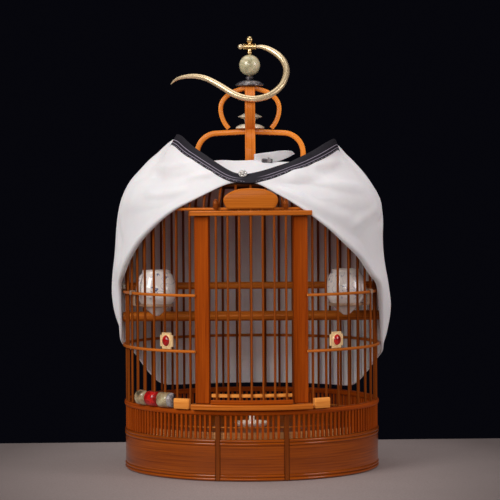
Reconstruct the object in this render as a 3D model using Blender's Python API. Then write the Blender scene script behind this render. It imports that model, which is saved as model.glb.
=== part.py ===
"""Round bamboo bird cage with a lifting door, a lantern handle, a folding hook and a cloth cover.

Metres, +Z up. The origin is the centre of the underside, and the door faces -Y.
"""
import math

import bmesh
import bpy
from mathutils import Vector

# Driving dimensions
CAGE_RADIUS = 0.1622
BAR_COUNT = 52
BAR_RADIUS = 0.0016
BAR_SIDES = 5
CLEAR = 0.0003
RING_STEPS = 52
FINE_STEPS = 16

# Base heights and walls
BAND_PROUD = 0.0020
BAND_WALL = 0.0040
BAND_HEIGHT = 0.0510
BEAD_HEIGHT = 0.0040
BEAD_PROUD = 0.0009
PANEL_RECESS = 0.0007
RIB_ANGLE = math.radians(15.0)
RIB_WIDTH = 0.0058
RIB_THICKNESS = 0.0062
BOTTOM_THICKNESS = 0.0045
TRAY_FLOOR_HEIGHT = 0.0452
TRAY_THICKNESS = 0.0040
TRAY_RIM_HEIGHT = 0.0100
TRAY_RIM_WALL = 0.0040
TRAY_GAP = 0.0012
SHORT_BAR_COUNT = 156
SHORT_BAR_LENGTH = 0.0290
SHORT_BAR_WIDTH = 0.0030
SOCKET_DEPTH = 0.0010

# Rings
MAIN_RING_HEIGHT = 0.0066
MAIN_RING_WIDTH = 0.0072
MAIN_RING_PROUD = 0.0033
HOOP_WIDTH = 0.0027
HOOP_THICKNESS = 0.0036
HOOP_LOW_Z = 0.1565
HOOP_HIGH_Z = 0.2255
SHOULDER_RISE = 0.0303
SHOULDER_DRAW_IN = 0.0122
SHOULDER_WIDTH = 0.0062
SHOULDER_THICKNESS = 0.0050
BEND_ABOVE_HOOP = 0.0010
ROOF_RIB_COUNT = 26
ROOF_CROWN = 0.0022

# Top plate
TOP_PLATE_RADIUS = 0.0800
TOP_PLATE_THICKNESS = 0.0060
ROOF_RISE = 0.0230

# Door frame and door
DOOR_BAR_COUNT = 7
DOOR_BAR_RADIUS = 0.0015
DOOR_RAIL_HEIGHT = 0.0056
DOOR_RAIL_DEPTH = 0.0050
DOOR_SIDE_ROOM = 0.0042
DOOR_BARS_SHARE = 0.842
INNER_RAIL_HEIGHT = 0.0045
INNER_RAIL_DEPTH = 0.0026
INNER_RAIL_LIFT = 0.0085
POST_WIDTH = 0.0189
POST_DEPTH = 0.0056
HOOP_LAP = 0.0020
POST_FROM_FRAME_END = 0.0111
SILL_HEIGHT = 0.0066
SILL_DEPTH = 0.0135
LINTEL_HEIGHT = 0.0062
FRAME_LENGTH_SHARE = 0.934
FRAME_LIP = 0.0014
LINTEL_Z = 0.3252
PLAQUE_WIDTH = 0.0670
PLAQUE_HEIGHT = 0.0252
PLAQUE_THICKNESS = 0.0054
PLAQUE_CORNER = 0.0125
PLAQUE_BASE = 0.0500
DOOR_KNOB_WIDTH = 0.0056
DOOR_KNOB_HEIGHT = 0.0115
BLOCK_WIDTH = 0.0226
BLOCK_HEIGHT = 0.0130
BLOCK_DEPTH = 0.0062
BLOCK_FROM_FRAME = 0.0030

# Handle
STRIP_WIDTH = 0.0130
STRIP_THICKNESS = 0.0066
ARCH_HALF_WIDTH = 0.0720
ARCH_HEIGHT = 0.0460
ARCH_CORNER = 0.0260
ARCH_RISE = 0.0020
LANTERN_RADIUS = 0.0409
LANTERN_STRIP_THICKNESS = 0.0058
LANTERN_STRIP_WIDTH = 0.0130
LANTERN_CENTRE_RISE = 0.0269
LANTERN_TOP_RISE = 0.0285
LANTERN_FLAT = 0.0088
BOLT_RADIUS = 0.0026
BOLT_HEAD_RADIUS = 0.0052
BOLT_HEAD_HEIGHT = 0.0030
LOWER_DISC_RADIUS = 0.0190
LOWER_DISC_HEIGHT = 0.0066
LOWER_BEAD_RADIUS = 0.0157
LOWER_BEAD_HEIGHT = 0.0130
UPPER_DISC_RADIUS = 0.0183
UPPER_DISC_HEIGHT = 0.0078
SMALL_BEAD_RADIUS = 0.0056
SMALL_BEAD_HEIGHT = 0.0052
BALL_RADIUS = 0.0137
STEM_RADIUS = 0.0028
STEM_COLLAR_RADIUS = 0.0056
STEM_COLLAR_HEIGHT = 0.0042
PIVOT_ABOVE_BALL = 0.0104
EYE_RADIUS = 0.0043
EYE_LENGTH = 0.0160
FINIAL_RADIUS = 0.0046
FINIAL_NECK_RADIUS = 0.0022

# Hook
HOOK_DROP = 0.0824
HOOK_RADIUS = 0.0040
HOOK_SHANK_RADIUS = 0.0019
HOOK_END_BALL_RADIUS = 0.0034
HOOK_SIDES = 8
HOOK_LEAN_SHARE = 0.965

# Perch, upper rod, cups
PERCH_RADIUS = 0.0064
PERCH_Z = 0.1940
PERCH_OVERHANG = 0.0030
PERCH_SIDES = 16
ROD_RADIUS = 0.0046
ROD_INSET = 0.0064
CAP_LENGTH = 0.0098
CAP_RADIUS = 0.0045
CUP_RADIUS = 0.0262
CUP_HEIGHT = 0.0586
CUP_WALL = 0.0026
CUP_FLOOR = 0.0042
CUP_BOTTOM_Z = 0.1975
CUP_FROM_WALL = 0.0297
CUP_SLOT = 3
CUP_RING_WALL = 0.0018
CUP_RING_HEIGHT = 0.0036
CUP_RING_LIFT = 0.0120
CUP_STRIP_WIDTH = 0.0060
CUP_STRIP_THICKNESS = 0.0016
CUP_LIFT = 0.0600

# Dish, plates and stones
DISH_RADIUS = 0.0242
DISH_HEIGHT = 0.0085
DISH_WALL = 0.0022
DISH_POST_RADIUS = 0.0038
DISH_POST_HEIGHT = 0.0170
PLATE_WIDTH = 0.0210
PLATE_HEIGHT = 0.0204
PLATE_THICKNESS = 0.0024
PLATE_NOTCH = 0.0030
PLATE_ANGLE = math.radians(39.6)
STONE_HEIGHT = 0.0130
STONE_WIDTH = 0.0104
STONE_RISE = 0.0030
WALL_BEAD_HEIGHT = 0.0190
WALL_BEAD_DEPTH = 0.0095
JADE_BEAD_LENGTH = 0.0200
RED_BEAD_LENGTH = 0.0210
LONG_BEAD_LENGTH = 0.0262
BEAD_SPACE = 0.0012

# Cover
CLOTH_THICKNESS = 0.0012
CLOTH_CLEAR = 0.0010
CLOTH_COLUMNS = 36
COVER_NECK_RADIUS = 0.0765
COVER_NECK_RISE = 0.0042
LAYER_GAP = 0.0029
COVER_FRONT_INSET = 0.0024
LAPEL_FOLD_DEPTH = 0.0022
LAPEL_FOLD_COUNT = 3
BAND_RISE = 0.0100
BAND_SEAT = 0.0006
BAND_LEAN = 0.0020
BAND_LEAN_END_SHARE = 0.6
BAND_END_SHARE = 0.6
BAND_THICKNESS = 0.0016
CLASP_WIDTH = 0.0105
CLASP_HEIGHT = 0.0090
CLASP_THICKNESS = 0.0030
CLASP_OFFSET = 0.0112

# Places that follow from the sizes above
PITCH = 2.0 * math.pi / BAR_COUNT
WALL_OUTER = CAGE_RADIUS + BAR_RADIUS
HOOP_INNER = WALL_OUTER + CLEAR
HOOP_OUTER = HOOP_INNER + HOOP_WIDTH
BAND_RADIUS = CAGE_RADIUS + BAND_PROUD
BAND_INNER = BAND_RADIUS - BAND_WALL
MAIN_RING_Z = BAND_HEIGHT + SHORT_BAR_LENGTH + 2.0 * CLEAR
RING_TOP = MAIN_RING_Z + MAIN_RING_HEIGHT
MAIN_RING_RADIUS = CAGE_RADIUS + MAIN_RING_PROUD
MAIN_RING_INNER = MAIN_RING_RADIUS - MAIN_RING_WIDTH
SHOULDER_RADIUS = CAGE_RADIUS - SHOULDER_DRAW_IN
SILL_Z = RING_TOP + CLEAR
POST_FOOT_Z = SILL_Z + SILL_HEIGHT + CLEAR
POST_HEIGHT = LINTEL_Z - CLEAR - POST_FOOT_Z
POST_RADIUS = HOOP_INNER - 2.0 * CLEAR - POST_DEPTH / 2.0
HOOP_TOP_Z = LINTEL_Z + LINTEL_HEIGHT + CLEAR
BEND_START_Z = HOOP_TOP_Z + HOOP_THICKNESS + BEND_ABOVE_HOOP
SHOULDER_Z = HOOP_TOP_Z + SHOULDER_RISE
TOP_PLATE_Z = SHOULDER_Z + ROOF_RISE
DOOR_RADIUS = HOOP_OUTER + CLEAR + max(PLAQUE_THICKNESS, DOOR_KNOB_WIDTH) / 2.0
FRAME_OUTER = DOOR_RADIUS + DOOR_BAR_RADIUS + CLEAR + FRAME_LIP
FRAME_LENGTH = CAGE_RADIUS * FRAME_LENGTH_SHARE
FRAME_HALF_ANGLE = math.asin(FRAME_LENGTH / 2.0 / FRAME_OUTER)
POST_ANGLE = FRAME_HALF_ANGLE - POST_FROM_FRAME_END / POST_RADIUS
DOOR_HALF_ANGLE = POST_ANGLE - (POST_WIDTH / 2.0 + DOOR_SIDE_ROOM) / POST_RADIUS
DOOR_BAR_PITCH = 2.0 * DOOR_RADIUS * DOOR_HALF_ANGLE * DOOR_BARS_SHARE / (DOOR_BAR_COUNT - 1)
BLOCK_ANGLE = FRAME_HALF_ANGLE + (BLOCK_WIDTH / 2.0 + BLOCK_FROM_FRAME) / WALL_OUTER
CUP_DISTANCE = CAGE_RADIUS - CUP_FROM_WALL
COVER_FRONT_RADIUS = CAGE_RADIUS - COVER_FRONT_INSET
LINTEL_INNER = CAGE_RADIUS - BAR_RADIUS
FIRST_BAR = 4
LAST_BAR = BAR_COUNT - FIRST_BAR
HOOP_END_ANGLE = POST_ANGLE + (POST_WIDTH / 2.0 - HOOP_LAP) / HOOP_INNER
SIDES = ((-1.0, "left"), (1.0, "right"))
TRAY_TOP = TRAY_FLOOR_HEIGHT + TRAY_THICKNESS
ARCH_FOOT_Z = TOP_PLATE_Z + TOP_PLATE_THICKNESS + CLEAR
ARCH_TOP_Z = TOP_PLATE_Z + TOP_PLATE_THICKNESS + ARCH_HEIGHT
LANTERN_CENTRE_Z = ARCH_TOP_Z + LANTERN_CENTRE_RISE
LANTERN_TOP_Z = LANTERN_CENTRE_Z + LANTERN_TOP_RISE
DISC_Z = LANTERN_TOP_Z + CLEAR
BEAD_Z = DISC_Z + UPPER_DISC_HEIGHT
BALL_Z = BEAD_Z + SMALL_BEAD_HEIGHT + CLEAR + BALL_RADIUS
PIVOT_Z = BALL_Z + BALL_RADIUS + PIVOT_ABOVE_BALL
HOOK_LEAN = LANTERN_RADIUS * HOOK_LEAN_SHARE + HOOK_RADIUS + CLEAR
HOOK_TILT = math.asin(HOOK_LEAN / HOOK_DROP)
ROD_Z = HOOP_HIGH_Z + HOOP_THICKNESS + CLEAR + ROD_RADIUS
CUP_ANGLE = math.radians(90.0) - (CUP_SLOT + 0.5) * PITCH

# Outline points, chosen by hand as shares of the sizes that they follow
HOOK_PATH_SHARES = (
    (-0.125, 0.0), (0.105, 0.0), (0.200, 0.006), (0.325, 0.062), (0.450, 0.165), (0.535, 0.290),
    (0.575, 0.440), (0.558, 0.590), (0.500, 0.740), (0.395, 0.865), (0.265, 0.955), (0.120, 0.998),
    (-0.010, 0.998), (-0.150, 0.960), (-0.285, 0.885), (-0.410, 0.790), (-0.540, 0.695),
    (-0.680, 0.610), (-0.820, 0.568), (-0.960, 0.565), (-1.085, 0.592), (-1.175, 0.645), (-1.230, 0.715),
)
HOOK_TAPER_SHARES = (
    0.475, 0.475, 0.70, 0.90, 1.0, 1.0, 1.0, 1.0, 1.0, 1.0, 1.0, 1.0,
    1.0, 1.0, 1.0, 0.98, 0.94, 0.88, 0.80, 0.68, 0.54, 0.36, 0.12,
)
BALL_OUTLINE_STEPS = 8
# Height of the cover's rolled edge round the cage: share of half a turn, share of the shoulder height
ROLL_EDGE_SHARES = (
    (0.0, 1.004), (0.055, 1.004), (0.100, 0.981), (0.150, 0.946), (0.200, 0.906), (0.265, 0.843),
    (0.317, 0.795), (0.372, 0.729), (0.420, 0.662), (0.455, 0.560), (0.500, 0.450), (0.628, 0.388),
    (0.700, 0.312), (0.750, 0.250), (0.850, 0.195), (1.0, 0.165),
)
# Height of the turned-out lapel's edge, in the same shares
LAPEL_EDGE_SHARES = (
    (0.0, 1.032), (0.055, 1.055), (0.110, 1.092), (0.165, 1.133), (0.220, 1.162), (0.278, 1.182),
    (0.330, 1.186), (0.390, 1.168), (0.470, 1.120), (0.550, 1.050), (0.620, 0.930), (0.690, 0.720),
    (0.750, 0.480), (0.810, 0.290), (0.850, 0.235), (1.0, 0.205),
)
# Distance of the lapel's edge from the axis, as a share of the cage radius
LAPEL_REACH_SHARES = (
    (0.0, 0.944), (0.055, 0.934), (0.110, 0.908), (0.165, 0.870), (0.220, 0.820), (0.278, 0.772),
    (0.330, 0.735), (0.390, 0.715), (0.440, 0.760), (0.480, 0.830), (0.520, 0.910), (0.560, 1.010),
    (0.600, 1.068), (0.690, 1.078), (0.850, 1.078), (1.0, 1.078),
)
# The turned-out cloth's bulge: share of the shoulder height, share of the cage radius
BULGE_SHARES = (
    (0.16, 1.066), (0.45, 1.068), (0.49, 1.082), (0.53, 1.100), (0.57, 1.114), (0.62, 1.119),
    (0.66, 1.115), (0.75, 1.092), (0.81, 1.082), (0.89, 1.074), (0.935, 1.066), (0.975, 1.040),
    (1.014, 1.000), (1.041, 0.950), (1.061, 0.895), (1.100, 0.815), (1.130, 0.750), (1.19, 0.708),
)
# The inner layer over wall, shoulder and roof edge, in the same shares
WALL_LAYER_SHARES = (
    (0.15, 1.046), (0.44, 1.046), (0.52, 1.064), (0.66, 1.064), (0.75, 1.050), (0.934, 1.046),
    (0.955, 1.030), (0.975, 1.006), (1.005, 0.966), (1.036, 0.900),
)
# Rows of the inner layer: share of its drop, share of the shoulder height
WALL_ROW_SHARES = ((0.82, 1.003), (0.64, 0.968), (0.46, 0.932), (0.24, 0.60), (0.0, 0.0))
# Rows of the lapel: share of the shoulder height, then least and greatest share of the lapel's rise
LAPEL_ROW_SHARES = (
    (0.52, 0.08, 0.20), (0.66, 0.16, 0.40), (0.935, 0.26, 0.66), (0.985, 0.42, 0.76),
    (1.030, 0.58, 0.84), (1.075, 0.76, 0.92), (2.0, 1.0, 1.0),
)
# Depth of the lapel's folds, which fan out from the front: share of the cage radius, share of the depth
FOLD_SWELL_SHARES = ((0.20, 0.0), (0.45, 1.0), (1.10, 1.0), (1.60, 0.0))
# Half turn up to which the lapel lies low enough for the door to pass
COVER_FRONT_END_SHARE = 0.115
# Bar bent in at the shoulder: share of the rise, share of the way in
BEND_SHARES = ((0.0, 0.0), (0.55, 0.33), (1.0, 1.0))
PLAQUE_SHOULDER_SHARE = 0.38
CAP_TIP_SHARE = 0.8
# Turned beads: share of the radius, share of the height
LOWER_DISC_SHARES = ((1.0, 0.0), (0.93, 0.42), (0.68, 0.85), (0.36, 1.0))
LOWER_BEAD_SHARES = ((0.44, 0.0), (0.50, 0.40), (1.0, 0.62), (1.0, 0.70), (0.50, 1.0))
UPPER_DISC_SHARES = ((1.0, 0.0), (0.95, 0.30), (0.70, 0.82))
SMALL_BEAD_SHARES = ((0.75, 0.0), (1.0, 0.5), (0.75, 1.0))
# Cup: share of the height, share of the greatest radius
CUP_SHARES = (
    (0.0, 0.47), (0.06, 0.53), (0.20, 0.80), (0.36, 0.965), (0.52, 1.0), (0.70, 0.955),
    (0.86, 0.83), (0.95, 0.69), (1.0, 0.71),
)
CUP_INNER_SHARES = (0.92, 0.84, 0.68, 0.50, 0.34, 0.20, 0.10)
# Polished stone: share of its rise, share of its size
STONE_SHARES = ((0.0, 1.0), (0.45, 0.9), (0.85, 0.6), (1.0, 0.25))

MATERIALS = {
    "bamboo": ((0.42, 0.13, 0.02), 0.32, 0.0),
    "bamboo_pale": ((0.72, 0.36, 0.09), 0.40, 0.0),
    "bamboo_dark": ((0.20, 0.055, 0.015), 0.38, 0.0),
    "cloth": ((0.86, 0.86, 0.87), 0.90, 0.0),
    "binding": ((0.03, 0.028, 0.035), 0.60, 0.0),
    "brass": ((0.80, 0.58, 0.26), 0.25, 1.0),
    "silver": ((0.70, 0.70, 0.68), 0.30, 1.0),
    "jade": ((0.50, 0.46, 0.26), 0.25, 0.0),
    "dark_stone": ((0.045, 0.04, 0.045), 0.22, 0.0),
    "red_stone": ((0.55, 0.01, 0.01), 0.18, 0.0),
    "porcelain": ((0.88, 0.87, 0.85), 0.12, 0.0),
    "bone": ((0.82, 0.76, 0.62), 0.35, 0.0),
    "gilt": ((0.80, 0.62, 0.34), 0.35, 0.6),
}


def clear_scene():
    for old in list(bpy.data.objects):
        bpy.data.objects.remove(old, do_unlink=True)


def material(name):
    found = bpy.data.materials.get(name)
    if found:
        return found
    colour, roughness, metallic = MATERIALS[name]
    made = bpy.data.materials.new(name)
    made.use_nodes = True
    shader = made.node_tree.nodes["Principled BSDF"]
    shader.inputs["Base Color"].default_value = (*colour, 1.0)
    shader.inputs["Roughness"].default_value = roughness
    shader.inputs["Metallic"].default_value = metallic
    return made


def ring_point(angle, radius, z):
    """A point at an angle from the front, turning towards +X."""
    return Vector((radius * math.sin(angle), -radius * math.cos(angle), z))


def table(shares, at):
    """Straight-line reading of a table of pairs."""
    if at <= shares[0][0]:
        return shares[0][1]
    for (low, low_value), (high, high_value) in zip(shares, shares[1:]):
        if at <= high:
            part = (at - low) / (high - low)
            return low_value + (high_value - low_value) * part
    return shares[-1][1]


def loft(bm, stations, closed=False):
    """A solid skinned over stations of the same number of points."""
    rings = [[bm.verts.new(point) for point in station] for station in stations]
    faces = []
    count = len(rings[0])
    pairs = list(zip(rings, rings[1:]))
    if closed:
        pairs.append((rings[-1], rings[0]))
    for one, two in pairs:
        for k in range(count):
            nxt = (k + 1) % count
            faces.append(bm.faces.new((one[k], one[nxt], two[nxt], two[k])))
    if not closed:
        faces.append(bm.faces.new(list(reversed(rings[0]))))
        faces.append(bm.faces.new(rings[-1]))
    return faces


def finish(bm, name, look, smooth=None, origin=None, parent=None):
    """Turn the built faces into a named object, facing out, with its origin where it turns."""
    bmesh.ops.recalc_face_normals(bm, faces=bm.faces[:])
    if origin is not None:
        bmesh.ops.translate(bm, verts=bm.verts[:], vec=-Vector(origin))
    mesh = bpy.data.meshes.new(name)
    bm.to_mesh(mesh)
    bm.free()
    made = bpy.data.objects.new(name, mesh)
    bpy.context.scene.collection.objects.link(made)
    made.data.materials.append(material(look))
    if smooth is not None:
        mesh.shade_smooth()
        mesh.set_sharp_from_angle(angle=math.radians(smooth))
    if origin is not None:
        made.location = origin
    if parent is not None:
        made.parent = parent
        made.location = Vector(made.location) - parent.location
    return made


def empty(name, place):
    made = bpy.data.objects.new(name, None)
    bpy.context.scene.collection.objects.link(made)
    made.location = place
    return made


def turned_stations(outline, steps, start=0.0, end=2.0 * math.pi, centre=(0.0, 0.0)):
    """Stations of a (radius, z) outline turned about an upright axis."""
    full = abs(end - start - 2.0 * math.pi) < math.radians(0.01)
    count = steps if full else steps + 1
    shift = Vector((centre[0], centre[1], 0.0))
    stations = []
    for k in range(count):
        angle = start + (end - start) * k / steps
        stations.append([ring_point(angle, radius, z) + shift for radius, z in outline])
    return stations, full


def add_turned(bm, outline, steps=RING_STEPS, start=0.0, end=2.0 * math.pi, centre=(0.0, 0.0)):
    stations, full = turned_stations(outline, steps, start, end, centre)
    loft(bm, stations, closed=full)


def add_round(bm, outline, steps=FINE_STEPS, centre=(0.0, 0.0)):
    """A turned solid whose (radius, z) outline starts and ends on the axis."""
    stations = [[ring_point(2.0 * math.pi * k / steps, radius, z) for k in range(steps)]
                for radius, z in outline[1:-1]]
    shift = Vector((centre[0], centre[1], 0.0))
    rings = [[bm.verts.new(point + shift) for point in station] for station in stations]
    low = bm.verts.new(Vector((0.0, 0.0, outline[0][1])) + shift)
    high = bm.verts.new(Vector((0.0, 0.0, outline[-1][1])) + shift)
    for one, two in zip(rings, rings[1:]):
        for k in range(steps):
            nxt = (k + 1) % steps
            bm.faces.new((one[k], one[nxt], two[nxt], two[k]))
    for k in range(steps):
        nxt = (k + 1) % steps
        bm.faces.new((low, rings[0][nxt], rings[0][k]))
        bm.faces.new((high, rings[-1][k], rings[-1][nxt]))


def rectangle(inner, outer, low, high):
    return [(inner, low), (outer, low), (outer, high), (inner, high)]


def add_tube(bm, points, radii, sides, turn=0.0):
    """A solid rod along points that lie in one plane."""
    normal = None
    for one, two, three in zip(points, points[1:], points[2:]):
        cross = (two - one).cross(three - two)
        if cross.length > CLEAR * CLEAR:
            normal = cross.normalized()
            break
    if normal is None:
        along = (points[-1] - points[0]).normalized()
        normal = along.orthogonal().normalized()
    stations = []
    last = len(points) - 1
    for k, point in enumerate(points):
        tangent = (points[min(k + 1, last)] - points[max(k - 1, 0)]).normalized()
        side = tangent.cross(normal).normalized()
        station = []
        for s in range(sides):
            angle = turn + 2.0 * math.pi * s / sides
            station.append(point + (side * math.cos(angle) + normal * math.sin(angle)) * radii[k])
        stations.append(station)
    loft(bm, stations)


def add_ribbon(bm, points, width, thickness, across):
    """A flat strip along points that lie in a plane square to its width."""
    stations = []
    last = len(points) - 1
    for k, point in enumerate(points):
        tangent = (points[min(k + 1, last)] - points[max(k - 1, 0)]).normalized()
        outward = tangent.cross(across).normalized() * (thickness / 2.0)
        half = across * (width / 2.0)
        stations.append([point - half - outward, point + half - outward,
                         point + half + outward, point - half + outward])
    loft(bm, stations)


def add_box(bm, centre, right, up, out, width, height, depth):
    """A block by its centre and three directions."""
    stations = []
    for side in (-0.5, 0.5):
        base = centre + out * (depth * side)
        stations.append([base + right * (width * a) + up * (height * b)
                         for a, b in ((-0.5, -0.5), (0.5, -0.5), (0.5, 0.5), (-0.5, 0.5))])
    loft(bm, stations)


def wall_frame(angle):
    """Directions along the wall, up, and outwards at an angle."""
    right = Vector((math.cos(angle), math.sin(angle), 0.0))
    out = Vector((math.sin(angle), -math.cos(angle), 0.0))
    return right, Vector((0.0, 0.0, 1.0)), out


def cut(target, cutter):
    cutter.hide_render = True
    cutter.display_type = "WIRE"
    modifier = target.modifiers.new("cut", "BOOLEAN")
    modifier.operation = "DIFFERENCE"
    modifier.solver = "EXACT"
    modifier.object = cutter


def union(target, other):
    other.hide_render = True
    other.display_type = "WIRE"
    modifier = target.modifiers.new("join", "BOOLEAN")
    modifier.operation = "UNION"
    modifier.solver = "EXACT"
    modifier.object = other


def band_outline(recess):
    """Outer face of the base band with its double bead at the foot and at the top."""
    proud = BAND_RADIUS + BEAD_PROUD - recess
    face = BAND_RADIUS - recess
    valley = BAND_RADIUS - BEAD_PROUD - recess
    half = BEAD_HEIGHT / 2.0
    top = BAND_HEIGHT
    return [
        (BAND_INNER, 0.0), (valley, 0.0), (proud, half), (valley, BEAD_HEIGHT),
        (proud, BEAD_HEIGHT + half), (face, 2.0 * BEAD_HEIGHT), (face, top - 2.0 * BEAD_HEIGHT),
        (proud, top - BEAD_HEIGHT - half), (valley, top - BEAD_HEIGHT), (proud, top - half),
        (valley, top), (BAND_INNER, top),
    ]


def make_base():
    half_rib = (RIB_WIDTH / 2.0 + CLEAR) / BAND_INNER
    bm = bmesh.new()
    add_turned(bm, band_outline(0.0), RING_STEPS, RIB_ANGLE + half_rib,
               2.0 * math.pi - RIB_ANGLE - half_rib)
    finish(bm, "base_band", "bamboo", 35.0)

    bm = bmesh.new()
    panel_steps = 6
    add_turned(bm, band_outline(PANEL_RECESS), panel_steps, half_rib - RIB_ANGLE, RIB_ANGLE - half_rib)
    finish(bm, "base_front_panel", "bamboo", 35.0)

    rib_height = MAIN_RING_Z - CLEAR
    rib_radius = BAND_RADIUS + BEAD_PROUD - RIB_THICKNESS / 2.0
    for side, name in SIDES:
        bm = bmesh.new()
        right, up, out = wall_frame(side * RIB_ANGLE)
        centre = ring_point(side * RIB_ANGLE, rib_radius, rib_height / 2.0)
        add_box(bm, centre, right, up, out, RIB_WIDTH, rib_height, RIB_THICKNESS)
        finish(bm, "base_rib_" + name, "bamboo_dark")

    rib_inner = rib_radius - RIB_THICKNESS / 2.0
    floor_radius = rib_inner - CLEAR
    bm = bmesh.new()
    add_round(bm, [(0.0, 0.0), (floor_radius, 0.0), (floor_radius, BOTTOM_THICKNESS),
                   (0.0, BOTTOM_THICKNESS)], RING_STEPS)
    finish(bm, "bottom_board", "bamboo_dark", 35.0)

    rim_outer = floor_radius - TRAY_GAP
    rim_inner = rim_outer - TRAY_RIM_WALL
    rim_top = TRAY_TOP + TRAY_RIM_HEIGHT
    skirt_low = BOTTOM_THICKNESS + CLEAR
    bm = bmesh.new()
    add_round(bm, [(0.0, TRAY_FLOOR_HEIGHT), (rim_inner, TRAY_FLOOR_HEIGHT), (rim_inner, skirt_low),
                   (rim_outer, skirt_low), (rim_outer, rim_top), (rim_inner, rim_top),
                   (rim_inner, TRAY_TOP), (0.0, TRAY_TOP)], RING_STEPS)
    finish(bm, "tray", "bamboo", 35.0)


def make_dish():
    low = TRAY_TOP + CLEAR
    top = low + DISH_HEIGHT
    floor = low + DISH_WALL
    bm = bmesh.new()
    add_round(bm, [(0.0, low), (DISH_RADIUS - 2.0 * DISH_WALL, low), (DISH_RADIUS, top),
                   (DISH_RADIUS - DISH_WALL, top), (DISH_RADIUS - 3.0 * DISH_WALL, floor),
                   (DISH_POST_RADIUS, floor), (DISH_POST_RADIUS, low + DISH_POST_HEIGHT),
                   (0.0, low + DISH_POST_HEIGHT)], FINE_STEPS)
    finish(bm, "floor_dish", "porcelain", 40.0)


def make_main_ring():
    """The main ring with the close row of short bars let into its underside."""
    bm = bmesh.new()
    edge = MAIN_RING_HEIGHT / 4.0
    add_turned(bm, [(MAIN_RING_INNER, MAIN_RING_Z), (MAIN_RING_RADIUS - edge, MAIN_RING_Z),
                    (MAIN_RING_RADIUS, MAIN_RING_Z + MAIN_RING_HEIGHT / 2.0),
                    (MAIN_RING_RADIUS - edge, RING_TOP), (MAIN_RING_INNER, RING_TOP)])
    ring = finish(bm, "main_ring", "bamboo", 40.0)
    pitch = 2.0 * math.pi / SHORT_BAR_COUNT
    low = BAND_HEIGHT + CLEAR
    length = SHORT_BAR_LENGTH + CLEAR + SOCKET_DEPTH
    rib_reach = (RIB_WIDTH / 2.0 + SHORT_BAR_WIDTH / 2.0 + CLEAR) / CAGE_RADIUS
    bm = bmesh.new()
    for k in range(SHORT_BAR_COUNT):
        angle = k * pitch
        turned = min(angle, 2.0 * math.pi - angle)
        if abs(turned - RIB_ANGLE) < rib_reach:
            continue
        right, up, out = wall_frame(angle)
        add_box(bm, ring_point(angle, CAGE_RADIUS, low + length / 2.0), right, up, out,
                SHORT_BAR_WIDTH, length, SHORT_BAR_WIDTH)
    union(ring, finish(bm, "short_bars", "bamboo"))


def make_hoops():
    """Flat hoops round the outside of the bars; the lower two stop in front of the door posts."""
    turn = 2.0 * math.pi
    at_bars = [n * PITCH for n in range(FIRST_BAR, LAST_BAR + 1)]
    open_angles = [HOOP_END_ANGLE] + at_bars + [turn - HOOP_END_ANGLE]
    all_angles = [n * PITCH for n in range(BAR_COUNT)]
    for name, low, angles in (("hoop_low", HOOP_LOW_Z, open_angles), ("hoop_high", HOOP_HIGH_Z, open_angles),
                              ("hoop_top", HOOP_TOP_Z, all_angles)):
        outline = rectangle(HOOP_INNER, HOOP_OUTER, low, low + HOOP_THICKNESS)
        bm = bmesh.new()
        loft(bm, [[ring_point(angle, radius, z) for radius, z in outline] for angle in angles],
             closed=angles is all_angles)
        finish(bm, name, "bamboo", 35.0)


def shoulder_path(angle, foot_z):
    """A wall bar from its foot up to its bent end on the shoulder ring."""
    rise = SHOULDER_Z - BEND_START_Z
    inward = CAGE_RADIUS - SHOULDER_RADIUS
    points = [ring_point(angle, CAGE_RADIUS, foot_z)]
    for up_share, in_share in BEND_SHARES:
        points.append(ring_point(angle, CAGE_RADIUS - inward * in_share, BEND_START_Z + rise * up_share))
    return points


def make_bars():
    """All the wall bars, bent in at the top and let into the shoulder ring."""
    outer = SHOULDER_RADIUS + SOCKET_DEPTH
    bm = bmesh.new()
    add_turned(bm, rectangle(outer - SHOULDER_WIDTH, outer, SHOULDER_Z - SHOULDER_THICKNESS,
                             SHOULDER_Z + BAR_RADIUS + CLEAR), BAR_COUNT, -0.5 * PITCH,
               2.0 * math.pi - 0.5 * PITCH)
    ring = finish(bm, "wall_bars", "bamboo", 35.0)
    bm = bmesh.new()
    for n in range(1 - FIRST_BAR, LAST_BAR + 1):
        over_door = n < FIRST_BAR
        foot = LINTEL_Z + LINTEL_HEIGHT + CLEAR if over_door else RING_TOP + CLEAR
        points = shoulder_path(n * PITCH, foot)
        add_tube(bm, points, [BAR_RADIUS] * len(points), BAR_SIDES)
    union(ring, finish(bm, "bent_bars", "bamboo", 50.0))


def make_roof():
    """The roof: ribs from the shoulder ring up into the rim of the top plate."""
    top = TOP_PLATE_Z + TOP_PLATE_THICKNESS
    bm = bmesh.new()
    add_round(bm, [(0.0, TOP_PLATE_Z), (TOP_PLATE_RADIUS, TOP_PLATE_Z), (TOP_PLATE_RADIUS, top),
                   (0.0, top)], BAR_COUNT)
    plate = finish(bm, "roof", "bamboo", 35.0)
    low = SHOULDER_Z + BAR_RADIUS + CLEAR + CLEAR + BAR_RADIUS
    high = TOP_PLATE_Z + TOP_PLATE_THICKNESS / 2.0
    inner = TOP_PLATE_RADIUS - SOCKET_DEPTH
    outer = SHOULDER_RADIUS - SHOULDER_WIDTH / 3.0
    middle = (outer + inner) / 2.0
    bm = bmesh.new()
    for k in range(ROOF_RIB_COUNT):
        angle = 2.0 * math.pi * (k + 0.5) / ROOF_RIB_COUNT
        points = [ring_point(angle, outer, low),
                  ring_point(angle, middle, (low + high) / 2.0 + ROOF_CROWN),
                  ring_point(angle, inner, high)]
        add_tube(bm, points, [BAR_RADIUS] * len(points), BAR_SIDES)
    union(plate, finish(bm, "roof_ribs", "bamboo", 50.0))


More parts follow.
